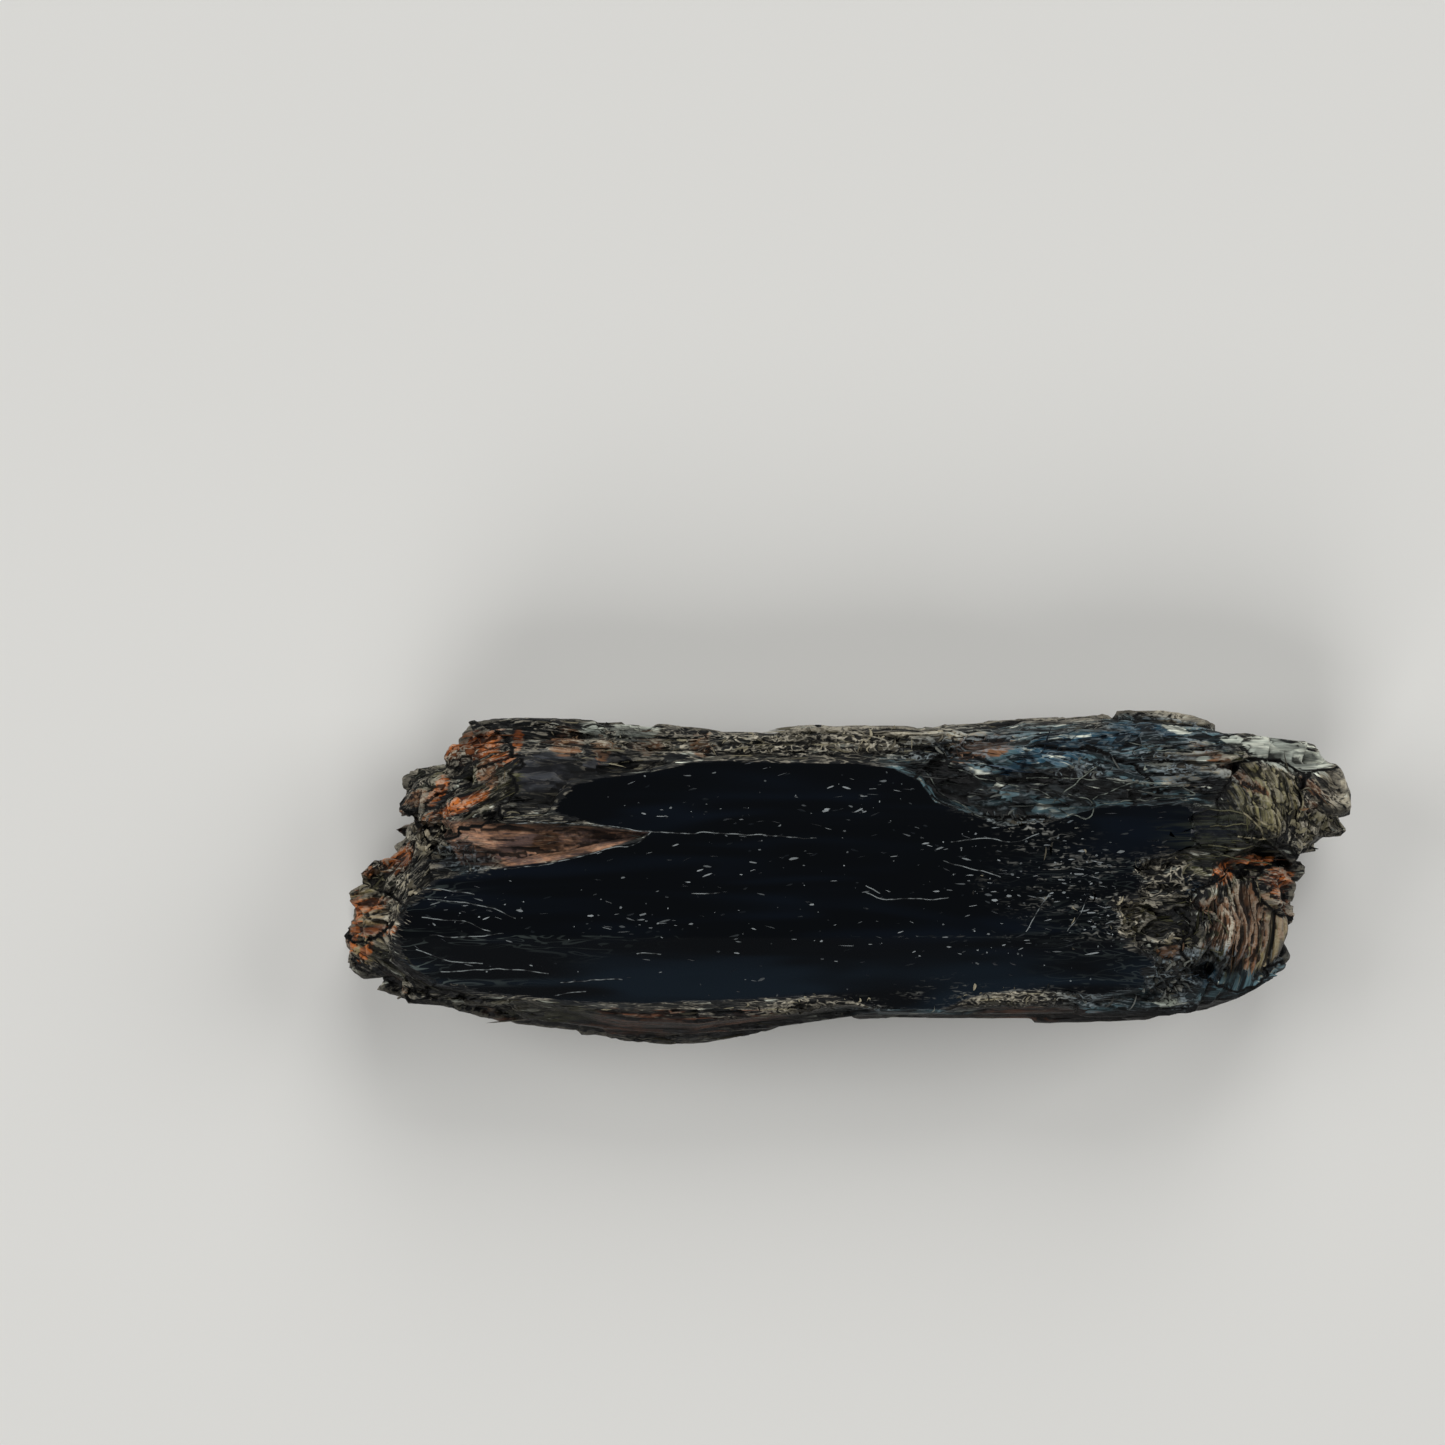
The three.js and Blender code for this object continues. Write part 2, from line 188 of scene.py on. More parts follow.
def in_scene(mesh, name):
    thing = bpy.data.objects.new(name, mesh)
    bpy.context.scene.collection.objects.link(thing)
    return thing


def wrapped_copy(node, voxel):
    mesh = node.data.copy()
    mesh.materials.clear()
    welded = bmesh.new()
    welded.from_mesh(mesh)
    bmesh.ops.remove_doubles(welded, verts=welded.verts, dist=0.002 * MM)
    welded.to_mesh(mesh)
    welded.free()
    thing = in_scene(mesh, "wrapping")
    wrap = thing.modifiers.new("wrap", "REMESH")
    wrap.mode = "VOXEL"
    wrap.voxel_size = voxel * MM
    wrap.adaptivity = 0
    result = plain_mesh(thing, "wrapped")
    bpy.data.objects.remove(thing)
    return result


wrapped = wrapped_copy(frame["nodes"]["kyanite_stone"], VOXEL)
print("Wrapped in", len(wrapped.polygons), "squares")

# %% [markdown]
# ## The window's edge
#
# The polished window is a flat island with a wandering shore. We draw the shore as a polygon and give each
# point of the stone its distance to it, above zero inside. A distance is more useful than a yes or no: the
# relief can fade in over it, and a material can roughen the shore with its own fine noise.

# %% Distance to the window's shore
WINDOW = [
    (-36.7, -4.0), (-36.3, -6.4), (-34.0, -8.3), (-30.3, -9.1), (-23.4, -9.9), (-16.9, -10.1),
    (-12.0, -9.9), (-7.1, -9.7), (-1.5, -9.4), (2.6, -10.5), (7.5, -10.6), (11.2, -9.2), (15.6, -9.0),
    (20.5, -9.4), (24.6, -8.7), (24.1, -7.4), (25.3, -6.4), (23.2, -5.6), (21.9, -4.2), (22.4, -3.0),
    (21.2, -1.8), (23.3, -1.0), (24.9, 0.1), (23.2, 0.9), (24.6, 1.9), (27.8, 2.5),
    (28.6, 5.4), (27.0, 6.4), (20.5, 6.1), (17.3, 5.1), (12.4, 4.5), (10.3, 5.4), (7.1, 6.5),
    (5.9, 8.2), (3.8, 9.2), (1.0, 9.6), (-4.7, 9.7), (-9.6, 9.8), (-12.8, 9.7), (-16.1, 8.9),
    (-20.2, 8.4), (-22.2, 8.0), (-23.4, 6.8), (-24.0, 5.6), (-19.4, 4.3), (-16.0, 4.0), (-16.9, 3.3),
    (-19.4, 2.7), (-23.4, 1.7), (-28.4, 1.1), (-30.7, 0.7), (-33.2, 0.1), (-35.8, -1.9),
]


def line_distance(points, a, b):
    """Distance in plan from each point to the stretch from a to b."""
    a, b = np.array(a), np.array(b)
    along = np.clip(((points - a) @ (b - a)) / ((b - a) @ (b - a)), 0, 1)
    return np.linalg.norm(points - a - along[:, None] * (b - a), axis=1)


def shore_distance(points, polygon):
    distance = np.full(len(points), 1e9)
    inside = np.zeros(len(points), bool)
    x, y = points[:, 0], points[:, 1]
    for (x0, y0), (x1, y1) in zip(polygon, polygon[1:] + polygon[:1]):
        distance = np.minimum(distance, line_distance(points, (x0, y0), (x1, y1)))
        if y0 != y1:
            crosses = ((y0 > y) != (y1 > y)) & (x < (x1 - x0) * (y - y0) / (y1 - y0) + x0)
            inside ^= crosses
    return np.where(inside, distance, -distance)


def read(elements, key, width, kind=float):
    """One property of every element, as rows of numbers."""
    flat = np.empty(len(elements) * width, dtype=kind)
    elements.foreach_get(key, flat)
    return flat.reshape(-1, width)


def points_of(mesh):
    return read(mesh.vertices, "co", 3) / MM


def directions_of(mesh):
    return read(mesh.vertices, "normal", 3)


def ends_of_edges(mesh):
    return read(mesh.edges, "vertices", 2, np.int64).T


# Points higher than TOP can belong to the window. All others count as far outside it.
TOP, FAR_OUTSIDE = 12.4, -5


def top_distance(points, polygon):
    """Distance to the polygon's shore for points near the top."""
    return np.where(points[:, 2] > TOP, shore_distance(points[:, :2], polygon), FAR_OUTSIDE)


print("Squares on the window:", int((top_distance(points_of(wrapped), WINDOW) > 0).sum()))

# %% [markdown]
# ## Squares where they count
#
# Nearly two hundred thousand squares are more than the flat faces need. A Decimate modifier joins small
# faces into large ones, and a vertex group tells it where it may: freely in the middle of the window and
# underneath, a little on the flanks, and nowhere on the rough top, where every splinter is looked at.

# %% Thin out the flat parts
def thinned(mesh, ratio):
    points = points_of(mesh)
    shore, height = top_distance(points, WINDOW), points[:, 2]
    free = np.select([shore > 1.0, height < 0.8, height < 9], [0.75, 1.0, 0.5], 0.0)
    thing = in_scene(mesh, "thinning")
    group = thing.vertex_groups.new(name="free")
    for weight in (0.5, 0.75, 1.0):
        group.add(np.nonzero(free == weight)[0].tolist(), weight, "REPLACE")
    thin = thing.modifiers.new("thin", "DECIMATE")
    thin.ratio = ratio
    thin.vertex_group = group.name
    thin.vertex_group_factor = 6
    result = plain_mesh(thing, "rough_stone")
    bpy.data.objects.remove(thing)
    return result


stone_mesh = thinned(wrapped, ratio=0.42)
start = points_of(stone_mesh)
outwards = directions_of(stone_mesh)
shore = top_distance(start, WINDOW)
print("Left with", len(stone_mesh.polygons), "faces and", len(start), "points")

# %% [markdown]
# ## The grain of the stone
#
# Blades run along the stone, but not everywhere. At the right end two packs of plates are bent into bows,
# on the right shoulder fibres fan out like a leaf, and the left end is combed askew. Rather than one
# direction for all, each point gets its own place in the grain: how far along the blades, across them and
# through them. Relief and colour are both laid out in these three lengths, so they always agree. Each point
# also keeps the direction of its blades, which splinters will follow. Where two patches meet, the grain
# jumps and any noise would show a bundle of false lines. We mark that seam and paint it dark later, like
# the crack that would be there on the real stone.

# %% Lay out the grain
def turned(points, angle, middle=(0, 0)):
    """Place along and across a direction at an angle in degrees."""
    c, s = math.cos(math.radians(angle)), math.sin(math.radians(angle))
    x, y = points[:, 0] - middle[0], points[:, 1] - middle[1]
    return x * c + y * s, -x * s + y * c


def combed(points, angle):
    """Straight blades at an angle: along, across, and their direction in x and y."""
    return *turned(points, angle), math.cos(math.radians(angle)), math.sin(math.radians(angle))


def bow(points, middle, stretch):
    """Plates bent round a middle: along is the way round, and across is the distance out."""
    x, y = points[:, 0] - middle[0], (points[:, 1] - middle[1]) * stretch
    return np.arctan2(y, x) * 6, np.hypot(x, y), -y, x / stretch


def leaf(points, stem):
    """Fibres that spread from a stem."""
    x, y = points[:, 0] - stem[0], points[:, 1] - stem[1]
    return np.hypot(x, y), np.arctan(y / x) * 9, x, y


UPPER_PACK, LOWER_PACK = (29.2, 4.6), (24.6, -3.2)
# Middle in x and y, half sizes, and how the grain of the patch is laid out
GRAINS = [
    ((34.5, 6.2), (4.3, 3.6), lambda p: bow(p, UPPER_PACK, 0.8)),
    ((31.8, -4.3), (4.6, 4.8), lambda p: bow(p, LOWER_PACK, 0.75)),
    ((14.8, 8.0), (9.5, 3.0), lambda p: leaf(p, (34.0, 6.6))),
    ((-39.4, -3.4), (3.6, 4.8), lambda p: leaf(p, (-47.0, -3.4))),
    ((-32.5, 8.6), (5.5, 4.8), lambda p: combed(p, 24)),
    ((-38.4, 1.6), (4.2, 4.5), lambda p: combed(p, 50)),
    ((-38.0, -6.0), (5.5, 4.2), lambda p: combed(p, -28)),
    ((39.0, 5.0), (3.0, 4.0), lambda p: combed(p, -42)),
    ((36.5, -1.0), (3.5, 2.2), lambda p: combed(p, -4)),
]


def laid_in_grain(points):
    """Place in the grain and blade direction for each point."""
    size = [16, 6, 6]
    sway = np.stack([clouds(points / size, salt) for salt in (37, 41)], axis=1)
    ahead = clouds((points + [1, 0, 0]) / size, 37)
    grain = points.copy()
    grain[:, 1:] += 1.4 * sway
    flow = np.stack([np.ones(len(points)), 1.4 * (sway[:, 0] - ahead), np.zeros(len(points))], axis=1)
    ragged = 0.22 * clouds(points / [2.5, 1.2, 1.2], 47)
    nearest = np.full(len(points), 1.0)
    for middle, half, layout in GRAINS:
        reach = np.hypot(*((points[:, :2] - middle) / half).T) + ragged
        chosen = reach < nearest
        along, across, flow_x, flow_y = layout(points[chosen])
        grain[chosen, 0] = along
        grain[chosen, 1] = across + 0.6 * sway[chosen, 0]
        flow[chosen, 0], flow[chosen, 1] = flow_x, flow_y
        nearest = np.where(chosen, reach, nearest)
    return grain, flow / np.linalg.norm(flow, axis=1, keepdims=True)


def seams_of(mesh, points, grain):
    """1 at the points where the grain jumps from one patch to the next, and 0 elsewhere."""
    a, b = ends_of_edges(mesh)
    length, step = [np.linalg.norm(places[a] - places[b], axis=1) for places in (points, grain)]
    jump = step > 3 * length + 0.5
    seam = np.zeros(len(points))
    seam[a[jump]] = seam[b[jump]] = 1
    return seam


grain, flow = laid_in_grain(start)
seam = seams_of(stone_mesh, start, grain)
print("Points in a bent or combed patch:", int((grain[:, 0] != start[:, 0]).sum()))

# %% [markdown]
# ## A map of finishes
#
# Rust sits in the broken ends, blue shows where thin blades let light in, and pale mica-like skins cling to
# the shoulders. A painted image could place them. Attributes are lighter: each finish is a list of soft
# spots, and each point of the mesh stores how much of it is there. The materials break up the soft edges.
# The last four finishes say what a place is like rather than its colour: packed with plates, crumbly,
# smooth, or tangled with curly flakes.

# %% Spots of each finish: middle in x and y, half sizes along and across, and turn in degrees
SPOTS = {
    "rust": [
        (-31.0, 10.9, 2.3, 1.1, 20), (-27.0, 11.6, 0.4, 0.8, 0), (-28.2, 10.0, 0.9, 0.5, 0),
        (-32.0, 6.0, 2.8, 0.5, 24), (-33.6, 7.2, 1.4, 0.4, 55), (-37.2, 1.8, 1.3, 0.9, 30),
        (-41.0, -3.8, 0.7, 2.2, -12), (-39.4, -2.0, 1.8, 0.4, 12), (-38.6, -4.2, 1.8, 0.4, 10),
        (-39.8, -6.2, 1.0, 0.4, 50), (35.7, -0.1, 1.2, 0.9, 0), (33.7, 1.5, 1.4, 0.4, 0),
        (31.0, 0.6, 0.7, 0.9, -30), (-39.6, 0.6, 0.6, 0.5, 0),
    ],
    "tan": [
        (-22.9, 11.4, 1.2, 0.9, 0), (-20.0, 10.8, 0.7, 0.9, 0), (-16.3, 11.2, 1.2, 0.8, 0),
        (-11.9, 11.3, 0.8, 0.9, 0), (10.9, 10.9, 2.3, 0.9, 10), (-24.6, 3.2, 1.2, 0.8, 0),
        (32.8, -4.0, 2.0, 3.0, -6), (30.6, -3.6, 1.2, 0.4, 30), (-35.6, 6.6, 1.2, 0.6, 20),
        (38.5, 7.4, 1.4, 0.4, -40), (30.2, -5.0, 1.2, 0.4, 16), (-37.6, -8.4, 1.4, 0.4, -30),
        (38.0, 6.0, 0.8, 0.5, 0), (31.6, 8.9, 3.0, 0.5, -35), (26.4, -5.9, 0.9, 0.5, 0),
        (-29.4, 8.8, 0.9, 1.2, 0), (30.0, -2.0, 1.6, 0.6, 0), (-34.4, 4.7, 0.9, 0.6, 0),
    ],
    "umber": [
        (-15.7, -11.9, 5.6, 1.0, -2), (-8.0, -11.6, 2.4, 0.8, 4), (18.0, -11.2, 6.0, 0.6, 3),
        (-28.0, -11.4, 2.0, 0.5, -10), (-37.6, 4.4, 1.4, 0.9, 20), (35.2, -3.6, 1.6, 3.0, -10),
    ],
    "steel": [(-25.2, 8.6, 2.3, 1.4, 0), (-19.6, 9.6, 1.6, 0.5, 10), (-33.4, 1.9, 1.4, 0.7, -10)],
    "blue": [
        (17.0, 10.6, 2.8, 1.1, 5), (21.0, 11.4, 3.2, 0.7, 4), (13.9, 9.3, 2.0, 0.5, 30),
        (28.0, -0.4, 1.2, 0.7, 0), (29.5, -7.8, 1.3, 1.0, 0), (24.4, 12.4, 2.6, 0.6, -3),
    ],
    "slate": [
        (17.4, 8.2, 11.5, 3.6, -3), (27.0, -8.4, 8.0, 2.4, 6), (26.5, 12.0, 4.5, 1.2, -8),
        (-31.5, 1.9, 2.0, 1.0, -10), (4.0, -10.9, 5.0, 0.5, 0),
    ],
    "olive": [
        (-25.1, -10.9, 3.6, 0.8, -3), (-38.2, -0.4, 1.4, 1.1, 0), (26.0, -3.2, 3.6, 1.5, 5),
        (32.0, 3.6, 3.6, 1.9, -4), (39.1, 4.6, 2.0, 1.7, 0), (30.9, 1.0, 3.4, 0.8, -5),
        (-34.4, 9.4, 1.9, 1.7, 20), (-35.6, -7.6, 4.6, 1.0, -28), (-29.0, 8.0, 1.8, 2.2, 0),
        (34.0, 7.0, 3.4, 2.6, -40), (31.0, -4.4, 3.0, 3.0, 0),
    ],
    "beige": [
        (30.6, 9.3, 3.6, 0.9, -35), (39.8, 7.4, 1.4, 1.6, 0), (22.8, -3.0, 1.3, 1.2, 0),
        (29.6, -5.4, 2.6, 0.5, 8), (26.6, -7.5, 1.2, 2.2, 0), (-1.4, -10.4, 4.4, 0.5, 0),
        (13.8, -9.6, 5.5, 0.5, 0), (33.6, 7.8, 2.4, 0.9, -20), (36.0, 6.2, 0.9, 1.8, -20),
        (-34.0, 3.2, 1.8, 1.8, 0), (3.5, 11.6, 9.0, 1.0, 0), (38.6, 5.0, 1.9, 1.9, 0),
        (-39.7, 0.4, 1.0, 0.8, 0), (34.6, 6.8, 3.0, 2.0, -50), (33.6, -4.4, 2.4, 3.0, 0),
        (-17.0, 11.6, 3.2, 0.6, 0), (27.4, 8.2, 2.4, 0.8, -18), (-38.8, -2.6, 2.0, 0.8, 8),
        (-39.2, -1.2, 1.6, 0.6, 10), (-38.4, -4.8, 1.6, 0.6, -10), (-37.4, -3.2, 0.9, 1.8, 0),
        (27.6, 9.6, 3.0, 0.8, -8), (-34.2, 4.4, 1.0, 0.8, 0), (24.8, -1.8, 1.2, 0.6, 0),
        (24.8, -5.4, 1.2, 0.5, 0), (28.2, -7.0, 1.6, 1.6, 0), (14.8, 4.9, 2.6, 0.4, -4),
        (27.5, 13.3, 2.6, 0.5, -6),
    ],
    "silver": [
        (36.0, 10.3, 2.5, 0.9, -12), (39.0, 9.9, 0.8, 0.4, -30), (26.3, -9.9, 0.9, 0.4, 0),
        (31.6, 11.5, 0.8, 0.3, -15), (27.2, 12.4, 0.7, 0.25, -5), (-17.4, 12.3, 1.4, 0.5, 0),
        (-20.8, 12.2, 0.8, 0.4, 0), (29.6, 9.8, 0.9, 0.25, -10), (25.4, 9.5, 0.8, 0.2, -5),
    ],
    "black": [
        (27.0, 4.3, 6.0, 1.7, -2), (24.5, 0.4, 2.6, 1.9, 0), (24.4, -6.6, 1.4, 1.6, 0),
        (26.8, -3.2, 2.6, 1.5, 4), (18.0, 7.8, 5.0, 1.0, -6), (8.5, 8.4, 3.0, 1.2, -30),
        (-33.5, -8.4, 3.6, 0.7, -28), (2.0, -12.0, 7.0, 0.5, 0), (25.0, -11.0, 6.0, 0.6, 6),
        (36.4, 2.4, 1.6, 0.5, -20), (-25.6, 6.6, 2.6, 0.5, 4), (-36.6, -5.4, 0.6, 1.2, -8),
        (30.4, 7.4, 1.5, 0.9, -20), (30.4, 1.5, 2.0, 0.4, 0), (30.8, 3.6, 2.2, 1.2, -5),
    ],
    "packed": [(34.2, 6.6, 2.7, 2.2, -40), (33.8, -4.3, 1.8, 2.8, 0), (-39.8, -3.4, 1.6, 3.2, 0)],
    "crumbly": [
        (-39.5, 0.8, 0.6, 0.7, 0), (-41.0, -1.0, 0.4, 0.7, 0), (-34.4, 3.4, 1.0, 1.2, 0),
        (22.9, -3.0, 1.1, 1.1, 0), (26.2, -7.6, 1.2, 2.2, 0), (-35.8, -0.6, 0.7, 0.9, 0),
        (38.4, 4.0, 1.4, 1.4, 0),
    ],
    "smooth": [
        (-24.6, 8.6, 3.4, 1.5, 2), (25.0, 4.9, 6.0, 1.1, -2), (35.2, 10.8, 2.6, 0.8, -10),
        (-1.0, -12.0, 9.0, 0.8, 0), (38.6, 9.0, 1.8, 1.0, -38), (36.0, 10.4, 3.0, 1.0, -12),
        (36.2, -6.6, 1.0, 2.2, 20),
        (32.0, -8.8, 3.4, 1.6, 14), (-18.0, -12.0, 8.0, 0.8, -4), (18.0, -11.6, 8.0, 0.6, 3),
    ],
    "curly": [
        (14.4, 4.8, 3.4, 0.7, -8), (25.6, 0.3, 2.4, 1.3, -8), (22.6, -3.1, 1.0, 1.2, 0),
        (26.9, -7.8, 1.9, 2.7, 0), (-1.4, -10.4, 4.2, 0.6, 0), (13.8, -9.7, 6.5, 0.7, 0),
        (-39.4, 0.6, 0.9, 1.2, 0), (-34.0, 3.3, 1.6, 1.6, 0), (38.3, 4.5, 2.0, 2.0, 0),
        (-31.0, 1.9, 2.2, 1.0, -8), (26.0, 9.6, 2.2, 0.6, -16),
        (14.5, 2.8, 3.4, 0.8, 8), (-28.6, 8.6, 0.7, 1.2, 0), (-31.6, 9.8, 1.6, 0.8, 20),
        (-35.2, 8.8, 0.9, 1.2, 0), (-18.0, 11.6, 5.0, 0.7, 0), (-4.0, 11.3, 8.0, 0.8, 0),
        (7.0, 10.8, 5.0, 0.8, 0), (-37.0, -0.4, 1.2, 1.6, 0), (19.4, 9.0, 2.0, 0.5, 10),
        (20.0, 0.4, 2.8, 1.2, 0), (8.0, 1.8, 3.0, 0.8, 4), (21.0, -2.6, 2.0, 1.4, 20),
    ],
}


def spot_amount(points, spots):
    """1 in the middle of any spot, falling to 0 at twice its half sizes."""
    amount = np.zeros(len(points))
    for x, y, along, across, turn in spots:
        u, v = turned(points, turn, (x, y))
        amount = np.maximum(amount, 1 - ramp(0.4, 2.0, np.hypot(u / along, v / across)))
    return amount


# The left wedge in the window: a hollow with a rusty floor that narrows to the right
WEDGE = [
    (-34.0, 4.9), (-27.9, 4.6), (-23.4, 4.6), (-19.4, 4.3), (-16.0, 4.0), (-19.4, 2.7), (-23.4, 1.7),
    (-28.4, 1.1), (-31.5, 1.3),
]
plan = start[:, :2]
finishes = {finish: spot_amount(plan, spots) * ramp(3, 9, start[:, 2]) for finish, spots in SPOTS.items()}
print("Points in each finish:", {finish: int((amount > 0.5).sum()) for finish, amount in finishes.items()})

# %% [markdown]
# ## Relief
#
# On the real stone every rough face is a staircase of broken blades. The `crystals` noise gives that when
# space is squeezed along the grain, because its round cells turn into long blades. Each blade is lifted or
# sunk by its own amount and tipped a little, so it catches light as one facet. Three sizes of blade lie
# over each other, like bundles, blades and splinters. In the two packs the plates stand out alone, because
# the finest layer would hide them. The window stays flat: there the relief fades to nothing, and each point
# is set on the plane of the grinding wheel. The solid's straight walls round the pit and at the end of the
# trough are pushed to and fro sideways, until they look broken instead of cut.

# %% Lift and sink the blades
def smoothed(mesh, values, rounds):
    """Values averaged with their neighbours' along the mesh's edges."""
    a, b = ends_of_edges(mesh)
    count = 1 + np.bincount(a, minlength=len(values)) + np.bincount(b, minlength=len(values))
    for _ in range(rounds):
        total = values.copy()
        for axis in range(values.shape[1]):
            total[:, axis] += np.bincount(a, values[b, axis], len(values))
            total[:, axis] += np.bincount(b, values[a, axis], len(values))
        values = total / count[:, None]
    return values


def blade_relief(points, size, lift, tip, gap, salt):
    """Height of one layer of blades. `size` is a blade's length, width and thickness."""
    numbers, place, lead = crystals(points / size, salt)
    level = (2 * numbers[:, 0] - 1) * lift
    slope = ((numbers[:, 1:] - 0.5) * place).sum(axis=1) * tip
    groove = gap * np.exp(-((lead / 0.14) ** 2))
    return level + slope - groove


bundles = blade_relief(grain, [10, 2.0, 1.6], lift=0.3, tip=0.7, gap=0.16, salt=3)
blades = blade_relief(grain, [4.6, 0.85, 0.7], lift=0.14, tip=0.35, gap=0.12, salt=19)
splints = blade_relief(grain, [2.4, 0.42, 0.36], lift=0.07, tip=0.15, gap=0.07, salt=29)
in_wedge = top_distance(start, WEDGE)
x, y = start[:, 0], start[:, 1]
# Calm flanks and smooth skins, and ends that swell out to fill the outline
side = 0.35 - 0.15 * ramp(22, 26, x)
calm = (1 - 0.85 * finishes["smooth"]) * (side + (1 - side) * ramp(0.2, 0.7, outwards[:, 2]))
calm *= 1 - 0.6 * (in_wedge > 0)
tip_swell = 0.7 * ramp(38.5, 40.5, x) * ramp(4.5, 6, y) * (1 - ramp(8.5, 10.5, y))
pack_swell = 0.8 * ramp(34.5, 36.5, x) * ramp(-8.5, -6.5, y) * (1 - ramp(-3.6, -2.0, y))
packed = finishes["packed"]
relief = bundles * (1 - 0.5 * packed) + blades * (1 + 0.3 * packed) + splints * (1 - packed)
relief = relief * calm * (1 - 0.6 * ramp(37, 39, x)) + tip_swell + pack_swell
print("Relief from", relief.min().round(2), "to", relief.max().round(2), "mm")

# %% Keep the window flat, and keep inside the CAD box
# The ground face: its height, half the width of its level middle, and how its front and back facets fall
WHEEL_HEIGHT, LEVEL_HALF = 14.94, 4.5
FRONT_FALL, BACK_FALL = 1.82 / 10.5, 1.54 / 10.5
HAIR = 0.01


def wheel_plane(points):
    """Height of the ground face: level in the middle, and two long facets that fall away from it."""
    beyond = np.abs(points[:, 1]) - LEVEL_HALF
    fall = np.where(points[:, 1] < 0, FRONT_FALL, BACK_FALL)
    return WHEEL_HEIGHT - np.clip(beyond, 0, None) * fall


def move_points(mesh, points):
    """Puts the mesh's points at these places, kept a hair inside the solid's box."""
    low, high = np.array(CAD_BOX) / MM
    kept = np.clip(points, low + HAIR, high - HAIR)
    mesh.vertices.foreach_set("co", (kept * MM).ravel())
    mesh.update()
    return kept


fade = 1 - ramp(-0.9, -0.1, shore)
under = ramp(0.2, 1.2, start[:, 2])
way = smoothed(stone_mesh, outwards, 6)
way /= np.linalg.norm(way, axis=1, keepdims=True)
moved = start + way * ((relief - 0.1) * fade * under)[:, None]
# Near the pit and the trough's end the solid's cut walls are worn ragged
worn = spot_amount(plan, [(26.4, -3.0, 2.4, 1.8, 0), (28.4, 4.0, 1.6, 1.8, 0)]) * ramp(5, 9, start[:, 2])
moved[:, 0] += 2.0 * worn * clouds(start / [1.8, 0.7, 2.0], 61)
moved[:, 1] += 1.0 * worn * clouds(start / [1.2, 1.2, 2.0], 67)
ground = shore > -0.15
moved[ground, 2] = wheel_plane(moved)[ground]
moved[:, 2] = np.minimum(moved[:, 2], wheel_plane(moved))
moved = move_points(stone_mesh, moved)
crest = ((moved - smoothed(stone_mesh, moved, 4)) * directions_of(stone_mesh)).sum(axis=1)
print("Crests and cracks, in mm:", np.percentile(crest, [98, 2]).round(3))
print("The rough body measures", (moved.max(0) - moved.min(0)).round(2), "mm")

# %% [markdown]
# ## What each point knows
#
# Shaders and Geometry Nodes can both read named attributes. We store the distance to the shore, the place
# in the grain, the blade direction, every finish, and how thickly loose bits are strewn. Faces that lean
# towards the front get painted shade, darker than the lamps make them. `feather` says how far the
# rough stone reaches into the polish at the window's shore, and `veil` where pale threads cross the glass.

# %% Store the attributes
# Trails of silver flecks in the window: points of a line, and how far the flecks stray from it
TRAILS = [
    ([(-20.2, -3.6), (-16.1, -3.8), (-12.0, -4.4)], 0.5), ([(-12.0, 4.6), (-9.6, 5.0), (-6.7, 5.6)], 0.5),
    ([(-3.9, -0.3), (-0.6, 1.1), (3.4, 4.6)], 0.9), ([(8.7, -6.0), (11.6, -5.2), (15.2, -4.8)], 0.6),
    ([(-9.2, 0.1), (-3.9, 0.4)], 0.5), ([(17.3, -1.5), (20.5, -0.7)], 0.5),
    ([(11.0, 0.4), (16.5, 1.6), (21.5, 0.8)], 1.6), ([(-33.0, -2.0), (-26.0, -3.4)], 0.7),
    ([(2.0, 2.0), (10.0, 3.0)], 1.0), ([(20.0, -2.6), (23.0, -4.5)], 1.2),
    ([(-1.0, 6.5), (4.0, 7.5)], 1.2), ([(14.0, -1.6), (19.0, -1.0)], 1.4), ([(-5.0, 2.0), (3.0, 1.0)], 1.0),
]


def trail_amount(points, trails):
    amount = np.zeros(len(points))
    for line, stray in trails:
        for a, b in zip(line, line[1:]):
            amount = np.maximum(amount, np.exp(-((line_distance(points, a, b) / stray) ** 2)))
    return amount


def store(mesh, name, values):
    kind, key = ("FLOAT", "value") if values.ndim == 1 else ("FLOAT_VECTOR", "vector")
    layer = mesh.attributes.new(name, kind, "POINT")
    layer.data.foreach_set(key, np.asarray(values, dtype=np.float32).ravel())


patches = ramp(-0.15, 0.4, clouds(start / [5, 1.6, 1.6], 53))
skyward = ramp(0.3, 0.65, way[:, 2])
rough = (shore < -0.25) * (in_wedge < 0) * (1 - finishes["smooth"]) * (1 - finishes["packed"])
rough *= 1 - 0.8 * finishes["umber"]
ragged = 0.35 + 2.2 * ramp(27, 36, -x) + 0.9 * ramp(19, 24, x) + 0.5 * ramp(18, 22, -x) * ramp(4, 6, y)
in_trough = spot_amount(plan, [(28.0, 4.1, 2.6, 1.2, 0)])
ragged += 2.4 * ramp(22, 26, x) * ramp(1.2, 2.6, y)
veil = 0.8 * ramp(29, 37, -x) + 0.7 * ramp(24, 31, -x) * ramp(4, 6, -y)
veil += 0.4 * ramp(14, 20, x) * ramp(-2.4, -1, -y)
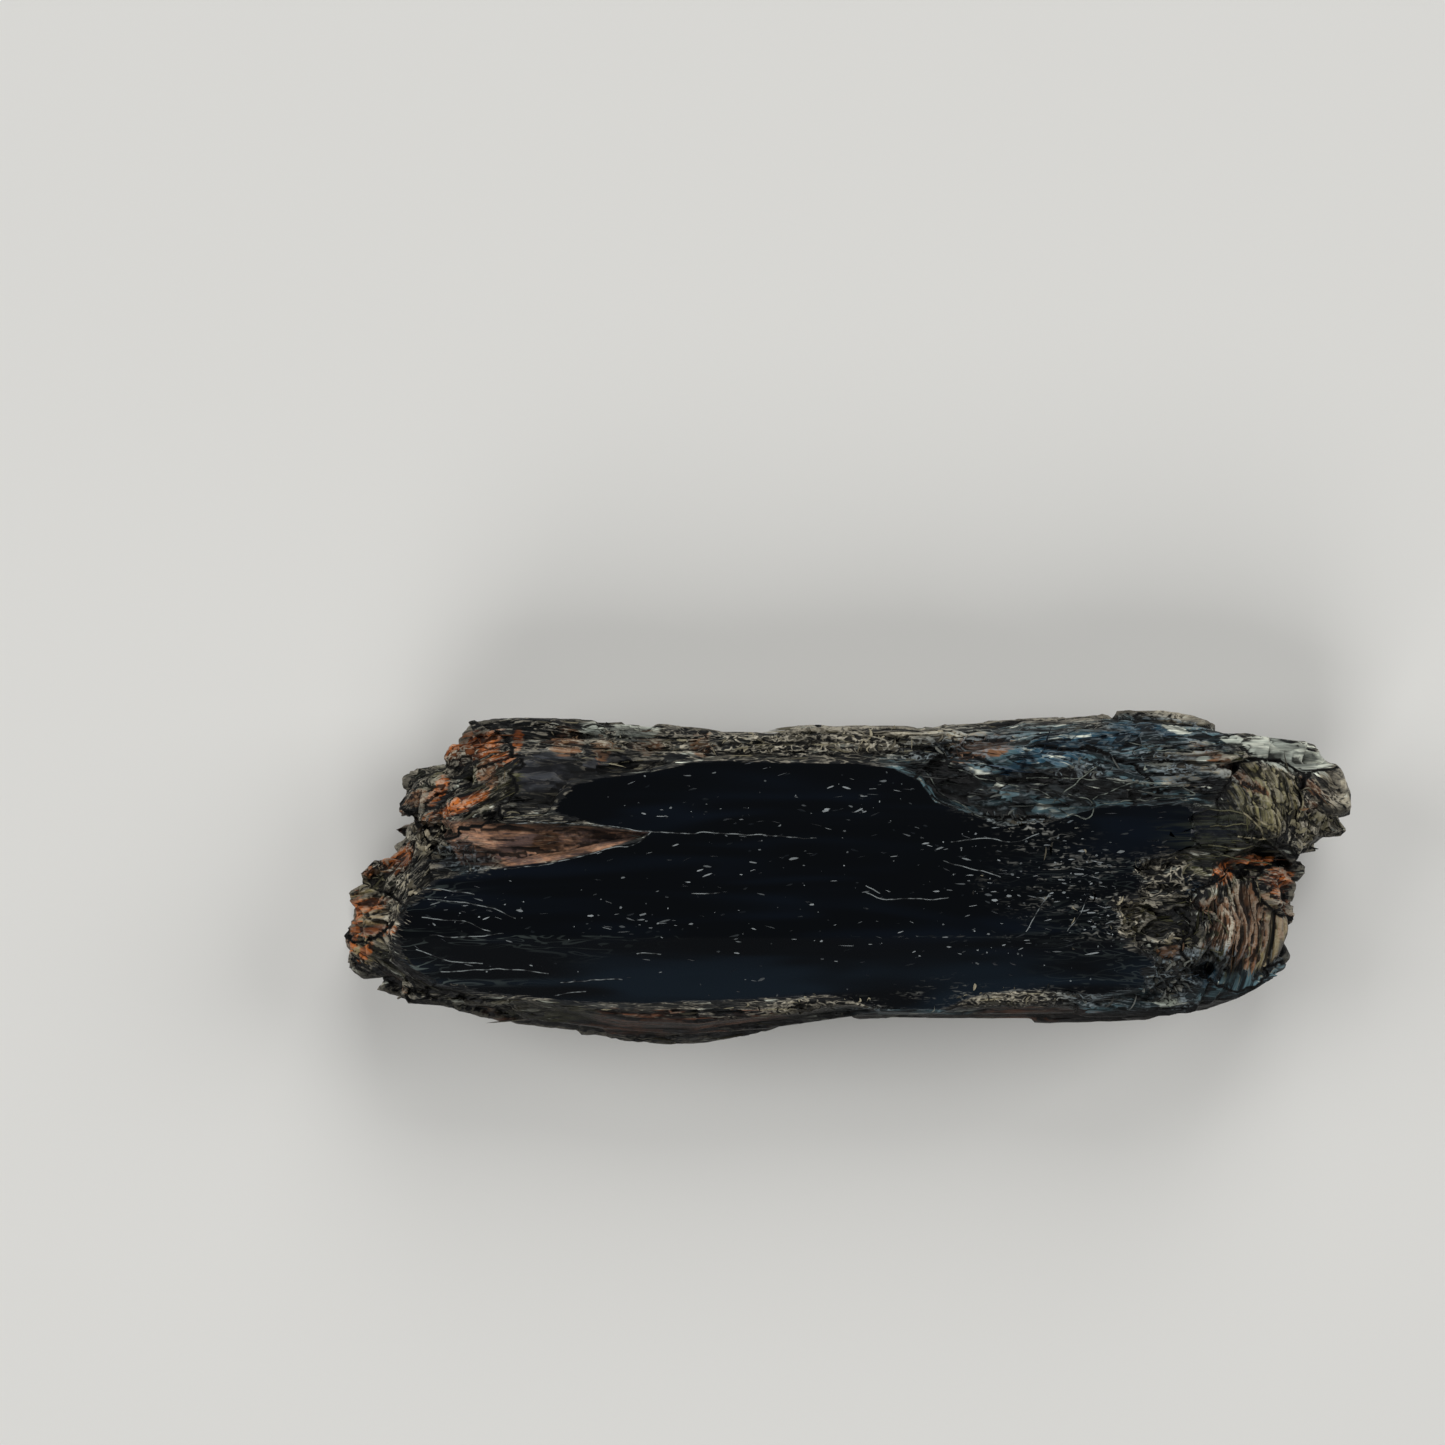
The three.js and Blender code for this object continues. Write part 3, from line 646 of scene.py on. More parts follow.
known = {
    "polish": np.maximum(shore, np.where(in_trough > 0, 3.4 * in_trough - 1, -9)),
    "flat": ramp(-0.1, 0.15, shore),
    "fan": spot_amount(plan, [(30.6, 4.0, 3.0, 1.6, 0)]),
    "feather": ragged,
    "wedge": in_wedge,
    "crest": crest / 0.05 * fade,
    "grain": grain,
    "flow": flow,
    "seam": seam,
    "splinter_share": rough * (0.25 + 0.75 * patches) * skyward,
    "curl_share": np.where(shore < 0.3, 1, 0.15) * finishes["curly"] * skyward,
    "crumb_share": (shore < 0.2) * ramp(0.3, 0.6, finishes["crumbly"]) * skyward,
    "veil": veil,
    # Painted shade: faces that lean towards the front are darkened in the colour, darker than the lamps
    # make them
    "dusk": ramp(0.15, 0.6, -way[:, 1]) * (shore < -0.1),
    "fleck_share": (shore > 0.1) * (0.07 + trail_amount(plan, TRAILS)) * (1 + 0.9 * ramp(8, 14, x)),
}
for name, values in (known | finishes).items():
    store(stone_mesh, name, values)
print("Stored", [layer.name for layer in stone_mesh.attributes if layer.data_type == "FLOAT"])

# %% [markdown]
# ## A short way to write graphs
#
# Materials and Geometry Nodes are graphs. Dragging links by hand is slow, and in a script each link takes a
# line. Instead we wrap a socket in a small class that knows plus, minus and times, so that a graph reads
# like maths. `Graph.node` makes every other node from its type, its settings and its inputs, and the two
# classes after it add what only a material or only a geometry recipe needs.

# %% Sockets that can be added and multiplied
class Value:
    """A number or colour on its way through a graph."""

    def __init__(self, graph, socket):
        self.graph, self.socket = graph, socket

    def _math(self, operation, first, second):
        return self.graph.node("ShaderNodeMath", {"operation": operation}, {0: first, 1: second})

    def __add__(self, other):
        return self._math("ADD", self, other)

    __radd__ = __add__

    def __sub__(self, other):
        return self._math("SUBTRACT", self, other)

    def __rsub__(self, other):
        return self._math("SUBTRACT", other, self)

    def __mul__(self, other):
        return self._math("MULTIPLY", self, other)

    __rmul__ = __mul__

    def other(self, name):
        """Another output of the same node."""
        return Value(self.graph, self.socket.node.outputs[name])

    def highest(self, other):
        return self._math("MAXIMUM", self, other)

    def lowest(self, other):
        return self._math("MINIMUM", self, other)

    def size(self):
        return self._math("ABSOLUTE", self, 0.0)

    def wrapped(self):
        """The part after the decimal point."""
        return self._math("FRACT", self, 0.0)

    def step(self, low, high):
        """0 below low, 1 above high, with a soft step between."""
        ends = {"Value": self, "From Min": low, "From Max": high}
        return self.graph.node("ShaderNodeMapRange", {"interpolation_type": "SMOOTHSTEP"}, ends)


class Graph:
    """A node tree, written as expressions."""

    def __init__(self, tree):
        self.tree, self.nodes, self.links = tree, tree.nodes, tree.links
        self.nodes.clear()

    def node(self, kind, settings=None, inputs=None, output=0):
        made = self.nodes.new(kind)
        for name, value in (settings or {}).items():
            setattr(made, name, value)
        for name, value in (inputs or {}).items():
            if isinstance(value, Value):
                self.links.new(value.socket, made.inputs[name])
            else:
                made.inputs[name].default_value = value
        return Value(self, made.outputs[output])

    def vector(self, operation, first, second):
        """Vector maths; for SCALE the second is a plain number."""
        key = "Scale" if operation == "SCALE" else 1
        return self.node("ShaderNodeVectorMath", {"operation": operation}, {0: first, key: second})


print("Besides plus, minus and times, a value knows", [word for word in vars(Value) if word[0] != "_"])

# %% Materials
def hex_colour(code):
    """A colour from the six digits that paint programs show, in Blender's linear numbers."""
    parts = [int(code[i : i + 2], 16) / 255 for i in (0, 2, 4)]
    return (*[c / 12.92 if c < 0.04045 else ((c + 0.055) / 1.055) ** 2.4 for c in parts], 1)


class Finish(Graph):
    """One material."""

    def __init__(self, name):
        self.material = bpy.data.materials.new(name)
        self.material.use_nodes = True
        super().__init__(self.material.node_tree)
        self.place = self.vector("SCALE", self.node("ShaderNodeTexCoord", output="Object"), 1 / MM)

    def stored(self, name, output="Fac"):
        return self.node("ShaderNodeAttribute", {"attribute_name": name}, output=output)

    def squeezed(self, place, feature):
        """A place counted in features of the given three sizes in millimetres."""
        inputs = {"Vector": place, "Scale": feature}
        return self.node("ShaderNodeMapping", {"vector_type": "TEXTURE"}, inputs)

    def noise(self, place, feature, detail=2.0, roughness=0.55, bend=0.0):
        inputs = {"Vector": self.squeezed(place, feature), "Scale": 1.0, "Detail": detail}
        inputs |= {"Roughness": roughness, "Distortion": bend}
        return self.node("ShaderNodeTexNoise", {}, inputs)

    def cell_tone(self, place, feature):
        """A number of its own for each cell."""
        inputs = {"Vector": self.squeezed(place, feature), "Scale": 1.0}
        colour = self.node("ShaderNodeTexVoronoi", {}, inputs, "Color")
        return self.node("ShaderNodeSeparateColor", {}, {0: colour}, "Red")

    def bent(self, place, feature, amount):
        """A place pushed about by soft noise, by up to the amount in millimetres."""
        push = self.noise(place, (feature,) * 3, 1).other("Color")
        centred = self.vector("SUBTRACT", push, (0.5, 0.5, 0.5))
        return self.vector("ADD", place, self.vector("SCALE", centred, 2 * amount))

    def rims(self, place, feature, width):
        """Thin rims round cells, like the edges of small crystals. The width counts in cells."""
        inputs = {"Vector": self.squeezed(place, feature), "Scale": 1.0}
        edge = self.node("ShaderNodeTexVoronoi", {"feature": "DISTANCE_TO_EDGE"}, inputs, "Distance")
        return 1 - edge.step(width * 0.3, width)

    def lines(self, field, width):
        """Thin lines where the field crosses one half, `width` in the field's own unit."""
        return 1 - (field - 0.5).size().step(width * 0.4, width)

    def blend(self, share, under, over):
        """The colour `under`, covered by the colour `over` where share is 1. Both may be six digits."""
        under, over = [hex_colour(c) if isinstance(c, str) else c for c in (under, over)]
        settings = {"data_type": "RGBA", "blend_type": "MIX"}
        return self.node("ShaderNodeMix", settings, {0: share, 6: under, 7: over}, 2)

    def darken(self, colour, share):
        """The colour times a number."""
        settings = {"data_type": "RGBA", "blend_type": "MULTIPLY"}
        grey = self.node("ShaderNodeCombineColor", {}, {0: share, 1: share, 2: share})
        return self.node("ShaderNodeMix", settings, {0: 1.0, 6: colour, 7: grey}, 2)

    def done(self, surface):
        """Ends the material in a Principled shader with these inputs."""
        shader = self.node("ShaderNodeBsdfPrincipled", {}, {"Specular IOR Level": 0.18} | surface)
        end = self.nodes.new("ShaderNodeOutputMaterial")
        self.links.new(shader.socket, end.inputs["Surface"])
        return self.material


print("Mid grey is", [round(part, 3) for part in hex_colour("808080")])

# %% Geometry recipes
class Recipe(Graph):
    """One Geometry Nodes tree with named inputs."""

    def __init__(self, name):
        super().__init__(bpy.data.node_groups.new(name, "GeometryNodeTree"))
        self.entry = self.nodes.new("NodeGroupInput")
        self.geometry = self.asked("Geometry", "Geometry")
        self.tree.interface.new_socket("Geometry", in_out="OUTPUT", socket_type="NodeSocketGeometry")

    def asked(self, name, kind):
        """A named input that the modifier shows."""
        self.tree.interface.new_socket(name, in_out="INPUT", socket_type="NodeSocket" + kind)
        return Value(self, self.entry.outputs[name])

    def attribute(self, name, kind="FLOAT"):
        return self.node("GeometryNodeInputNamedAttribute", {"data_type": kind}, {"Name": name})

    def chance(self, low, high, seed, kind="FLOAT"):
        """A random number or vector for each element."""
        first, output = {"FLOAT": (2, 1), "FLOAT_VECTOR": (0, 0)}[kind]
        inputs = {first: low, first + 1: high, "Seed": seed}
        return self.node("FunctionNodeRandomValue", {"data_type": kind}, inputs, output)

    def done(self, geometry):
        """Ends the recipe in real geometry that wears the asked material."""
        real = self.node("GeometryNodeRealizeInstances", {}, {"Geometry": geometry})
        inputs = {"Geometry": real, "Material": self.asked("Material", "Material")}
        dressed = self.node("GeometryNodeSetMaterial", {}, inputs)
        end = self.nodes.new("NodeGroupOutput")
        self.links.new(dressed.socket, end.inputs[0])
        return self.tree


def worked(data, recipe, name, **values):
    """The plain mesh that a recipe makes from a mesh or a curve."""
    thing = in_scene(data, name + "_work")
    modifier = thing.modifiers.new(name, "NODES")
    modifier.node_group = recipe
    sockets = {item.name.lower().replace(" ", "_"): item.identifier for item in recipe.interface.items_tree}
    for word, value in values.items():
        modifier[sockets[word]] = value
    result = plain_mesh(thing, name)
    bpy.data.objects.remove(thing)
    return result


print("Recipes built so far:", len(bpy.data.node_groups))

# %% [markdown]
# ## The stone's finish
#
# One material covers rough faces and window, because they meet along a ragged shore with no gap. It starts
# from nearly black rock, adds bladed streaks, then lays each finish of the map over it. A finish's soft
# spot is added to a streaky noise and cut at a threshold, which turns its blurred rim into splinters of
# colour. The edges of thin blades show as pale lines: contour lines of a noise stretched along the grain.
# A painted highlight lies on the crests of the relief, and painted shade darkens its cracks and the faces
# that lean towards the front.
#
# The usual specular light would lay a grey film over rock this dark, so every finish has little of it. The
# polish is a clear coat instead, and it lies only where the wheel has ground the stone flat.

# %% The rough faces
def rough_faces(f):
    """Colour, roughness and bump of broken kyanite, and the fine noises that the window's shore needs."""
    grain = f.stored("grain", "Vector")
    streak = f.noise(grain, (5.0, 0.6, 0.5), 3, 0.6, 0.4)
    thread = f.noise(grain, (2.0, 0.2, 0.2), 1, 0.6, 0.8)
    grit = f.noise(f.place, (0.35, 0.2, 0.2), 1, 0.7)
    patchy = f.noise(f.place, (5.0, 2.2, 2.2), 2, 0.6, 1.0)
    tone = f.cell_tone(grain, (2.4, 0.36, 0.36))
    crest = f.stored("crest")
    beige, slate = f.stored("beige"), f.stored("slate")
    strays = (streak - 0.5) * 1.1 + (thread - 0.5) * 0.7 + (tone - 0.5) * 0.4
    light = (streak * 0.9 + tone * 0.5 + thread * 0.5).step(0.8, 1.2)

    def coated(rock, name, dark, pale, low, high):
        share = (f.stored(name) + strays).step(low, high)
        return f.blend(share, rock, f.blend(light, dark, pale))

    rock = f.blend(light, "090b0d", f.blend(patchy, "23272b", "2b2a22"))
    for layer in (
        ("umber", "1a100c", "6a4029", 0.4, 0.7), ("slate", "111b1e", "4c666d", 0.4, 0.8),
        ("steel", "1b1c20", "37393d", 0.3, 0.6), ("olive", "12130b", "3d3d24", 0.4, 0.7),
        ("beige", "26221c", "968d78", 0.6, 0.9),
    ):
        rock = coated(rock, *layer)
    wedge = (f.stored("wedge") + (streak - 0.5) * 0.4).step(-0.1, 0.15)
    brown = (patchy + thread * 0.6 + grit * 0.3).step(0.75, 1.2)
    rock = f.blend(wedge, rock, f.blend(brown, "54433e", "ac8062"))
    rock = coated(rock, "blue", "0a161e", "27495a", 0.5, 0.85)
    rock = coated(rock, "black", "030405", "0e1112", 0.4, 0.6)
    matt = f.stored("steel") + f.stored("umber") + wedge
    glint = (f.stored("silver") + strays - matt * 0.5).step(0.2, 0.4)
    rock = f.blend(glint, rock, f.blend(light, "9ca298", "d6dacb"))

    stripe = f.noise(grain, (9.0, 0.32, 4.0), 2, 0.5).step(0.4, 0.6)
    light_stripe = f.blend(f.stored("olive"), "8c7854", "86805a")
    packed = (f.stored("packed") + strays * 0.6).step(0.4, 0.6) * 0.85
    rock = f.blend(packed, rock, f.blend(stripe, "11110b", light_stripe))
    rock = coated(rock, "tan", "33231a", "74533a", 0.5, 0.8)
    rock = coated(rock, "rust", "643115", "ac5f26", 0.4, 0.8)
    tangle = (f.stored("curly") + strays * 0.8 - f.stored("tan") * 0.6).step(0.4, 0.65)
    rock = f.blend(tangle * 0.75, rock, "0b0c0c")

    edges = f.lines(f.noise(grain, (3.2, 0.55, 0.5), 1, 0.5, 1.2), 0.05)
    nested = f.lines((streak * 5).wrapped(), 0.18) * (tone + beige * 0.5 - 0.2).step(0.5, 0.8)
    # Painted highlight on the crests of the relief, mixed with the pale colour of beige blade edges
    pale_edge_and_crest_highlight = (crest * 0.8 + strays + beige * 0.6).step(0.9, 1.6)
    blades = (edges * patchy.step(0.35, 0.5) + nested + pale_edge_and_crest_highlight).lowest(1.0) * (0.5 + 0.4 * beige)
    rims = f.rims(f.bent(grain, 1.0, 0.6), (1.1, 0.5, 0.5), 0.16) * streak.step(0.36, 0.5)
    pale = (blades * (1 - tangle) + rims * tangle) * (0.25 + 0.75 * grit.step(0.3, 0.6))
    bright = f.blend(slate.step(0.2, 0.7), "b2ab99", "7b868a")
    plain = (f.stored("smooth") * 0.8).highest(f.stored("black") * (1 - tangle) * 0.9).highest(wedge * 0.7)
    plain = plain.highest(f.stored("steel") * 0.9).highest(f.stored("silver")).highest(packed * 0.7)
    rock = f.blend(pale * (1 - plain), rock, bright)
    rock = f.blend(f.stored("seam").step(0.2, 0.9), rock, "0a0b0b")
    # Painted shade: the cracks where the relief sinks below its neighbours are darkened, and so are the
    # faces that lean towards the front
    shade = (1 - 0.75 * f.stored("dusk")) * (0.1 + 0.9 * (crest + 0.35 * grit).step(-1.1, 0.3))
    mottle = f.noise(grain, (3.6, 1.0, 1.0), 2, 0.6, 0.6)
    shade = shade * (0.5 + 0.8 * mottle.step(0.34, 0.62))
    rock = f.darken(rock, shade)
    fan = f.noise(f.place, (5.0, 0.3, 0.8), 2, 0.6, 0.6).step(0.46, 0.62)
    rock = f.blend(f.stored("fan") * 0.8, rock, f.blend(fan, "060807", "34372a"))
    height = tone * 0.35 + thread * 0.7 + grit * 0.2 + rims * tangle * 0.5
    bump = f.node("ShaderNodeBump", {}, {"Strength": 1.0, "Distance": 0.16 * MM, "Height": height})
    dull = f.stored("steel").highest(wedge) * 0.3
    surface = {"Base Color": rock, "Roughness": 0.35 + 0.35 * grit + dull, "Normal": bump}
    return surface, streak, thread, rims, fan


stone_look = Finish("bladed_kyanite")
rough_look = rough_faces(stone_look)
print("The rough faces take", len(stone_look.nodes), "nodes")

# %% The window over the rough faces
def window_over(f, surface, streak, thread, rims, fan):
    """Covers the rough surface with polished glassy crystal inside the window's shore, with a painted
    bluish reflection on its front part.
    """
    strays = (streak - 0.5) * 1.2 + (thread - 0.5) * 0.9
    glass = (f.stored("polish") + strays * f.stored("feather")).step(0.0, 0.12)
    depth = f.noise(f.place, (16, 2.2, 2.2), 1, 0.5, 0.5)
    dark = f.blend(depth.step(0.45, 0.8), "06080b", "0a1018")
    # Painted reflection: the front part of the window is painted a lighter blue, a sheen of the dim bluish
    # room
    front = f.node("ShaderNodeSeparateXYZ", {}, {0: f.place}, "Y").step(-5.0, -8.0)
    dark = f.blend(front * depth.step(0.35, 0.65), dark, "0f1820")
    threads = f.noise(f.place, (5.0, 0.8, 0.8), 1, 0.6, 1.5)
    veil = f.lines(threads, 0.035) * depth.step(0.35, 0.6) * f.stored("veil")
    clumps = f.noise(f.place, (3.0, 0.9, 0.9), 2, 0.6, 1.0).step(0.47, 0.62)
    flaws = rims * f.stored("curly") * thread.step(0.45, 0.6) * clumps
    dark = f.blend(veil * 0.42, dark, "606a66")
    dark = f.blend(flaws * 0.85, dark, "8d8d86")
    smooth = f.node("ShaderNodeNewGeometry", output="Normal")
    ground = glass * f.stored("flat")
    normal = {0: ground, 4: surface["Normal"], 5: smooth}
    dark = f.blend(fan * f.stored("fan") * 0.8, dark, "34372a")
    return {
        "Base Color": f.blend(glass, surface["Base Color"], dark),
        "Roughness": surface["Roughness"] * (1 - ground) + ground * 0.2,
        "Normal": f.node("ShaderNodeMix", {"data_type": "VECTOR"}, normal, 1),
        "Coat Weight": ground * 0.4,
        "Coat Roughness": 0.1,
    }


stone_material = stone_look.done(window_over(stone_look, *rough_look))
print("The stone's material has", len(stone_material.node_tree.nodes), "nodes")

# %% Show the stone in place of its solid
def show(mesh, name, material):
    mesh.materials.clear()
    mesh.materials.append(material)
    mesh.polygons.foreach_set("material_index", np.zeros(len(mesh.polygons), dtype=np.int32))
    move_points(mesh, points_of(mesh))
    piece = in_scene(mesh, name)
    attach(piece, "root")
    triangles = sum(len(face.vertices) - 2 for face in mesh.polygons)
    print(name, "has", triangles, "triangles")
    return piece


stone_mesh.shade_smooth()
stone = show(stone_mesh, "rough_stone", stone_material)
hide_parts("kyanite_stone")

# %% [markdown]
# ## Loose bits
#
# More than two thousand splinters, flakes, crumbs and flecks cling to the stone. Modelling each is
# hopeless, and a particle system gives little control. A Geometry Nodes recipe strews copies of a few small
# shapes instead. It reads from the stone's attributes how thickly to strew and which way the blades run.
# One recipe serves for the splinters, for the curled flakes that tangle at the window's ends, for crumbs of
# pale crystal in the broken hollows, and for the silver flecks in the window.

# %% Small shapes to strew
def small_shape(group, name, points, faces):
    mesh = bpy.data.meshes.new(name)
    mesh.from_pydata(points, [], faces)
    closed = bmesh.new()
    closed.from_mesh(mesh)
    bmesh.ops.recalc_face_normals(closed, faces=closed.faces)
    closed.to_mesh(mesh)
    closed.free()
    group.objects.link(bpy.data.objects.new(name, mesh))


def splinter(group, name, bend, hook):
    """A three-sided blade, pointed at both ends, bent sideways and hooked at one end."""
    points = [(-0.5, 0, 0)]
    for x, width in ((-0.3, 0.7), (-0.05, 1.0), (0.2, 0.85), (0.38, 0.5)):
        y = bend * (1 - 4 * x * x) + hook * max(x, 0) ** 2
        points += [(x, y - width / 2, -0.5), (x, y + width / 2, -0.4), (x, y + 0.1, width / 2)]
    points += [(0.5, hook / 4, -0.1)]
    faces = [(0, 2, 1), (0, 3, 2), (0, 1, 3)] + [(13, 10, 11), (13, 11, 12), (13, 12, 10)]
    for ring in (1, 4, 7):
        faces += [(ring + a, ring + b, ring + 3 + b, ring + 3 + a) for a, b in ((0, 1), (1, 2), (2, 0))]
    small_shape(group, name, points, faces)


def chip(group, name, sides, salt):
    """A flat crumb with an uneven rim."""
    luck = np.random.default_rng(salt).uniform(0.3, 0.55, sides)
    turn = np.arange(sides) * 2 * math.pi / sides
    rim = [(r * math.cos(a), r * math.sin(a), 0) for r, a in zip(luck, turn)]
    points = rim + [(0.05, -0.05, 0.5), (0, 0, -0.5)]
    faces = [(k, (k + 1) % sides, end) for k in range(sides) for end in (sides, sides + 1)]
    small_shape(group, name, points, faces)


splinters, curls, flecks = [bpy.data.collections.new(name) for name in ("splinters", "curls", "flecks")]
for number, bend in enumerate((0.0, 0.5, -0.5, 1.2, -1.0)):
    splinter(splinters, f"splinter_{number}", bend, hook=0.8 * bend)
for number, bend in enumerate((0.9, -1.6, 2.6, -2.2)):
    splinter(curls, f"curl_{number}", bend, hook=3 * bend)
for number, sides in enumerate((5, 6, 7, 5)):
    chip(flecks, f"fleck_{number}", sides, salt=number)

# %% The recipe that strews them
def strewing():
    r = Recipe("strewn_along_the_grain")
    thickly = r.attribute(r.asked("Share", "String")) * r.asked("Per Square Millimetre", "Float") * MM**-2
    seed = r.asked("Seed", "Int")
    inputs = {"Mesh": r.geometry, "Density": thickly, "Seed": seed}
    spread = r.node("GeometryNodeDistributePointsOnFaces", {}, inputs)
    up, flow = spread.other("Normal"), r.attribute("flow", "FLOAT_VECTOR")

    # A bit stays only where the stone lies under both its tips
    reach = r.asked("Reach", "Float")
    kept = spread
    for end in (1.0, -1.0):
        tip = r.vector("SCALE", flow, reach * end)
        lifted = r.vector("ADD", r.node("GeometryNodeInputPosition"), r.vector("SCALE", up, MM))
        ray = {"Target Geometry": r.geometry, "Source Position": r.vector("ADD", lifted, tip)}
        ray |= {"Ray Direction": r.vector("SCALE", up, -1.0), "Ray Length": 2.5 * MM}
        missed = 1 - r.node("GeometryNodeRaycast", {}, ray, "Is Hit")
        inputs = {"Geometry": kept, "Selection": missed}
        kept = r.node("GeometryNodeDeleteGeometry", {"domain": "POINT"}, inputs)

    axes = {"Primary Axis": flow, "Secondary Axis": up}
    along = r.node("FunctionNodeAxesToRotation", {"primary_axis": "X", "secondary_axis": "Z"}, axes)
    luck = r.chance((-0.25, -0.2, -1.0), (0.25, 0.2, 1.0), seed, "FLOAT_VECTOR")
    askew = r.vector("SCALE", luck, r.asked("Disorder", "Float"))
    lie = r.node("FunctionNodeRotateRotation", {"rotation_space": "LOCAL"}, {0: along, 1: askew})
    smallest, largest = r.asked("Smallest", "Vector"), r.asked("Largest", "Vector")
    share = r.chance((0.0, 0.0, 0.0), (1.0, 1.0, 1.0), seed + 1, "FLOAT_VECTOR")
    mostly_small = r.vector("MULTIPLY", share, share)
    growth = r.vector("MULTIPLY", mostly_small, r.vector("SUBTRACT", largest, smallest))
    size = r.vector("ADD", smallest, growth)
    inputs = {"Collection": r.asked("Shapes", "Collection")}
    inputs |= {"Separate Children": True, "Reset Children": True}
    shapes = r.node("GeometryNodeCollectionInfo", {}, inputs)
    inputs = {"Points": kept, "Instance": shapes, "Pick Instance": True, "Rotation": lie, "Scale": size}
    strewn = r.node("GeometryNodeInstanceOnPoints", {}, inputs)
    inputs = {"Geometry": strewn, "Name": "tone", "Value": r.chance(0.0, 1.0, seed + 2)}
    toned = r.node("GeometryNodeStoreNamedAttribute", {"data_type": "FLOAT", "domain": "INSTANCE"}, inputs)
    return r.done(toned)


strew = strewing()
print("The strewing recipe has", len(strew.nodes), "nodes")

# %% Looks of the loose bits
# What a bit takes on from the finish it lies in, or from the painted shade on faces that lean to the front:
# name, colour and how much
STAINS = [
    ("slate", "424e55", 0.7), ("black", "0b0d0e", 0.85), ("olive", "45452a", 0.6), ("blue", "1b3a52", 0.7),
    ("tan", "6e4a2e", 0.7), ("rust", "8c5128", 0.85), ("silver", "8f968a", 0.7), ("dusk", "12110f", 0.8),
]


def bits_finish(name, dark, pale, low, high, roughness):
    """Bits between a dark and a pale colour, stained by the finish they lie in and darkened by the painted
    shade on faces that lean to the front.
    """
    f = Finish(name)
    tone = f.stored("tone")
    colour = f.blend(tone.step(low, high), dark, pale)
    for stain, code, amount in STAINS:
        stained = f.darken(hex_colour(code), 0.15 + tone.step(low, high))
        colour = f.blend(f.stored(stain).step(0.3, 0.7) * amount, colour, stained)
    return f.done({"Base Color": colour, "Roughness": roughness})


def plain_material(name, code, roughness):
    return Finish(name).done({"Base Color": hex_colour(code), "Roughness": roughness})


def striped_stone(name, dark, pale, patch=0.8, low=0.38, high=0.62):
    """Thin stone whose colour comes and goes along it."""
    f = Finish(name)
    share = f.noise(f.place, (patch, patch, patch), 2, 0.6).step(low, high)
    return f.done({"Base Color": f.blend(share, dark, pale), "Roughness": 0.45})


def trough_stone():
    """Blades that are black in the trough and turn pale towards its right end."""
    f = Finish("trough_stone")
    end = f.node("ShaderNodeSeparateXYZ", {}, {0: f.place}).step(25, 34)
    share = (end * 0.9 + f.noise(f.place, (3.0, 0.3, 0.3), 2, 0.6)).step(0.75, 1.25)
    return f.done({"Base Color": f.blend(share, "070807", "56543e"), "Roughness": 0.4})


print("Loose bits take on", len(STAINS), "stains")

# %% Strew them
def strewn(name, share, thickly, shapes, sizes, disorder, material, seed):
    """Bits of one kind. Sizes are length, width and thickness of the smallest and of the largest."""
    smallest, largest = [tuple(side * MM for side in size) for size in sizes]
    return worked(
        stone_mesh, strew, name, share=share, per_square_millimetre=thickly, shapes=shapes, seed=seed,
        smallest=smallest, largest=largest, reach=largest[0] * 0.5, disorder=disorder, material=material,
    )


strewn_pieces = [
    strewn(
        "splinters", "splinter_share", 2.2, splinters, ((0.8, 0.08, 0.08), (4.2, 0.26, 0.2)), 0.16,
        bits_finish("splinter_stone", "0e1011", "8f8870", 0.5, 1.0, 0.4), seed=4,
    ),
    strewn(
        "curled_flakes", "curl_share", 2.4, curls, ((0.3, 0.1, 0.06), (1.4, 0.28, 0.16)), 2.6,
        bits_finish("flake_stone", "131310", "9a927b", 0.2, 1.0, 0.5), seed=9,
    ),
    strewn(
        "crumbs", "crumb_share", 2.6, flecks, ((0.35, 0.3, 0.25), (1.3, 1.0, 0.7)), 1.5,
        bits_finish("crumb_stone", "4c473b", "b0a68e", 0.1, 1.0, 0.3), seed=14,
    ),
    strewn(
        "window_flecks", "fleck_share", 3.4, flecks, ((0.12, 0.05, 0.02), (1.5, 0.26, 0.04)), 0.4,
        bits_finish("fleck_silver", "12161a", "8f9596", 0.35, 1.1, 0.3), seed=2,
    ),
]
print({mesh.name: len(mesh.polygons) for mesh in strewn_pieces})

# %% [markdown]
# ## Lines laid on the stone
#
# Hairline cracks cross the window, the edges of long blades show on the shoulder, the trough ends in blades
# that turn pale, and at the right end thin bent plates stand on edge in two packs. All of them are lines in
# plan that lie on the surface, so a second recipe drops drawn curves onto the stone with a Raycast and
# sweeps a small rectangle along them. A crack is a hair wide, and a plate is tall and thin.

# %% Curves in plan
# Lines are drawn this high above the table, clear of the stone
DRAWN_HEIGHT = 20


def drawn(name, lines):
    """Smooth curves through the points of each line, in millimetres."""
    curve = bpy.data.curves.new(name, "CURVE")
    curve.dimensions = "3D"
    for line in lines:
        spline = curve.splines.new("BEZIER")
        spline.bezier_points.add(len(line) - 1)
        for knot, (x, y) in zip(spline.bezier_points, line):
            knot.co = (x * MM, y * MM, DRAWN_HEIGHT * MM)
            knot.handle_left_type = knot.handle_right_type = "AUTO"
    return curve


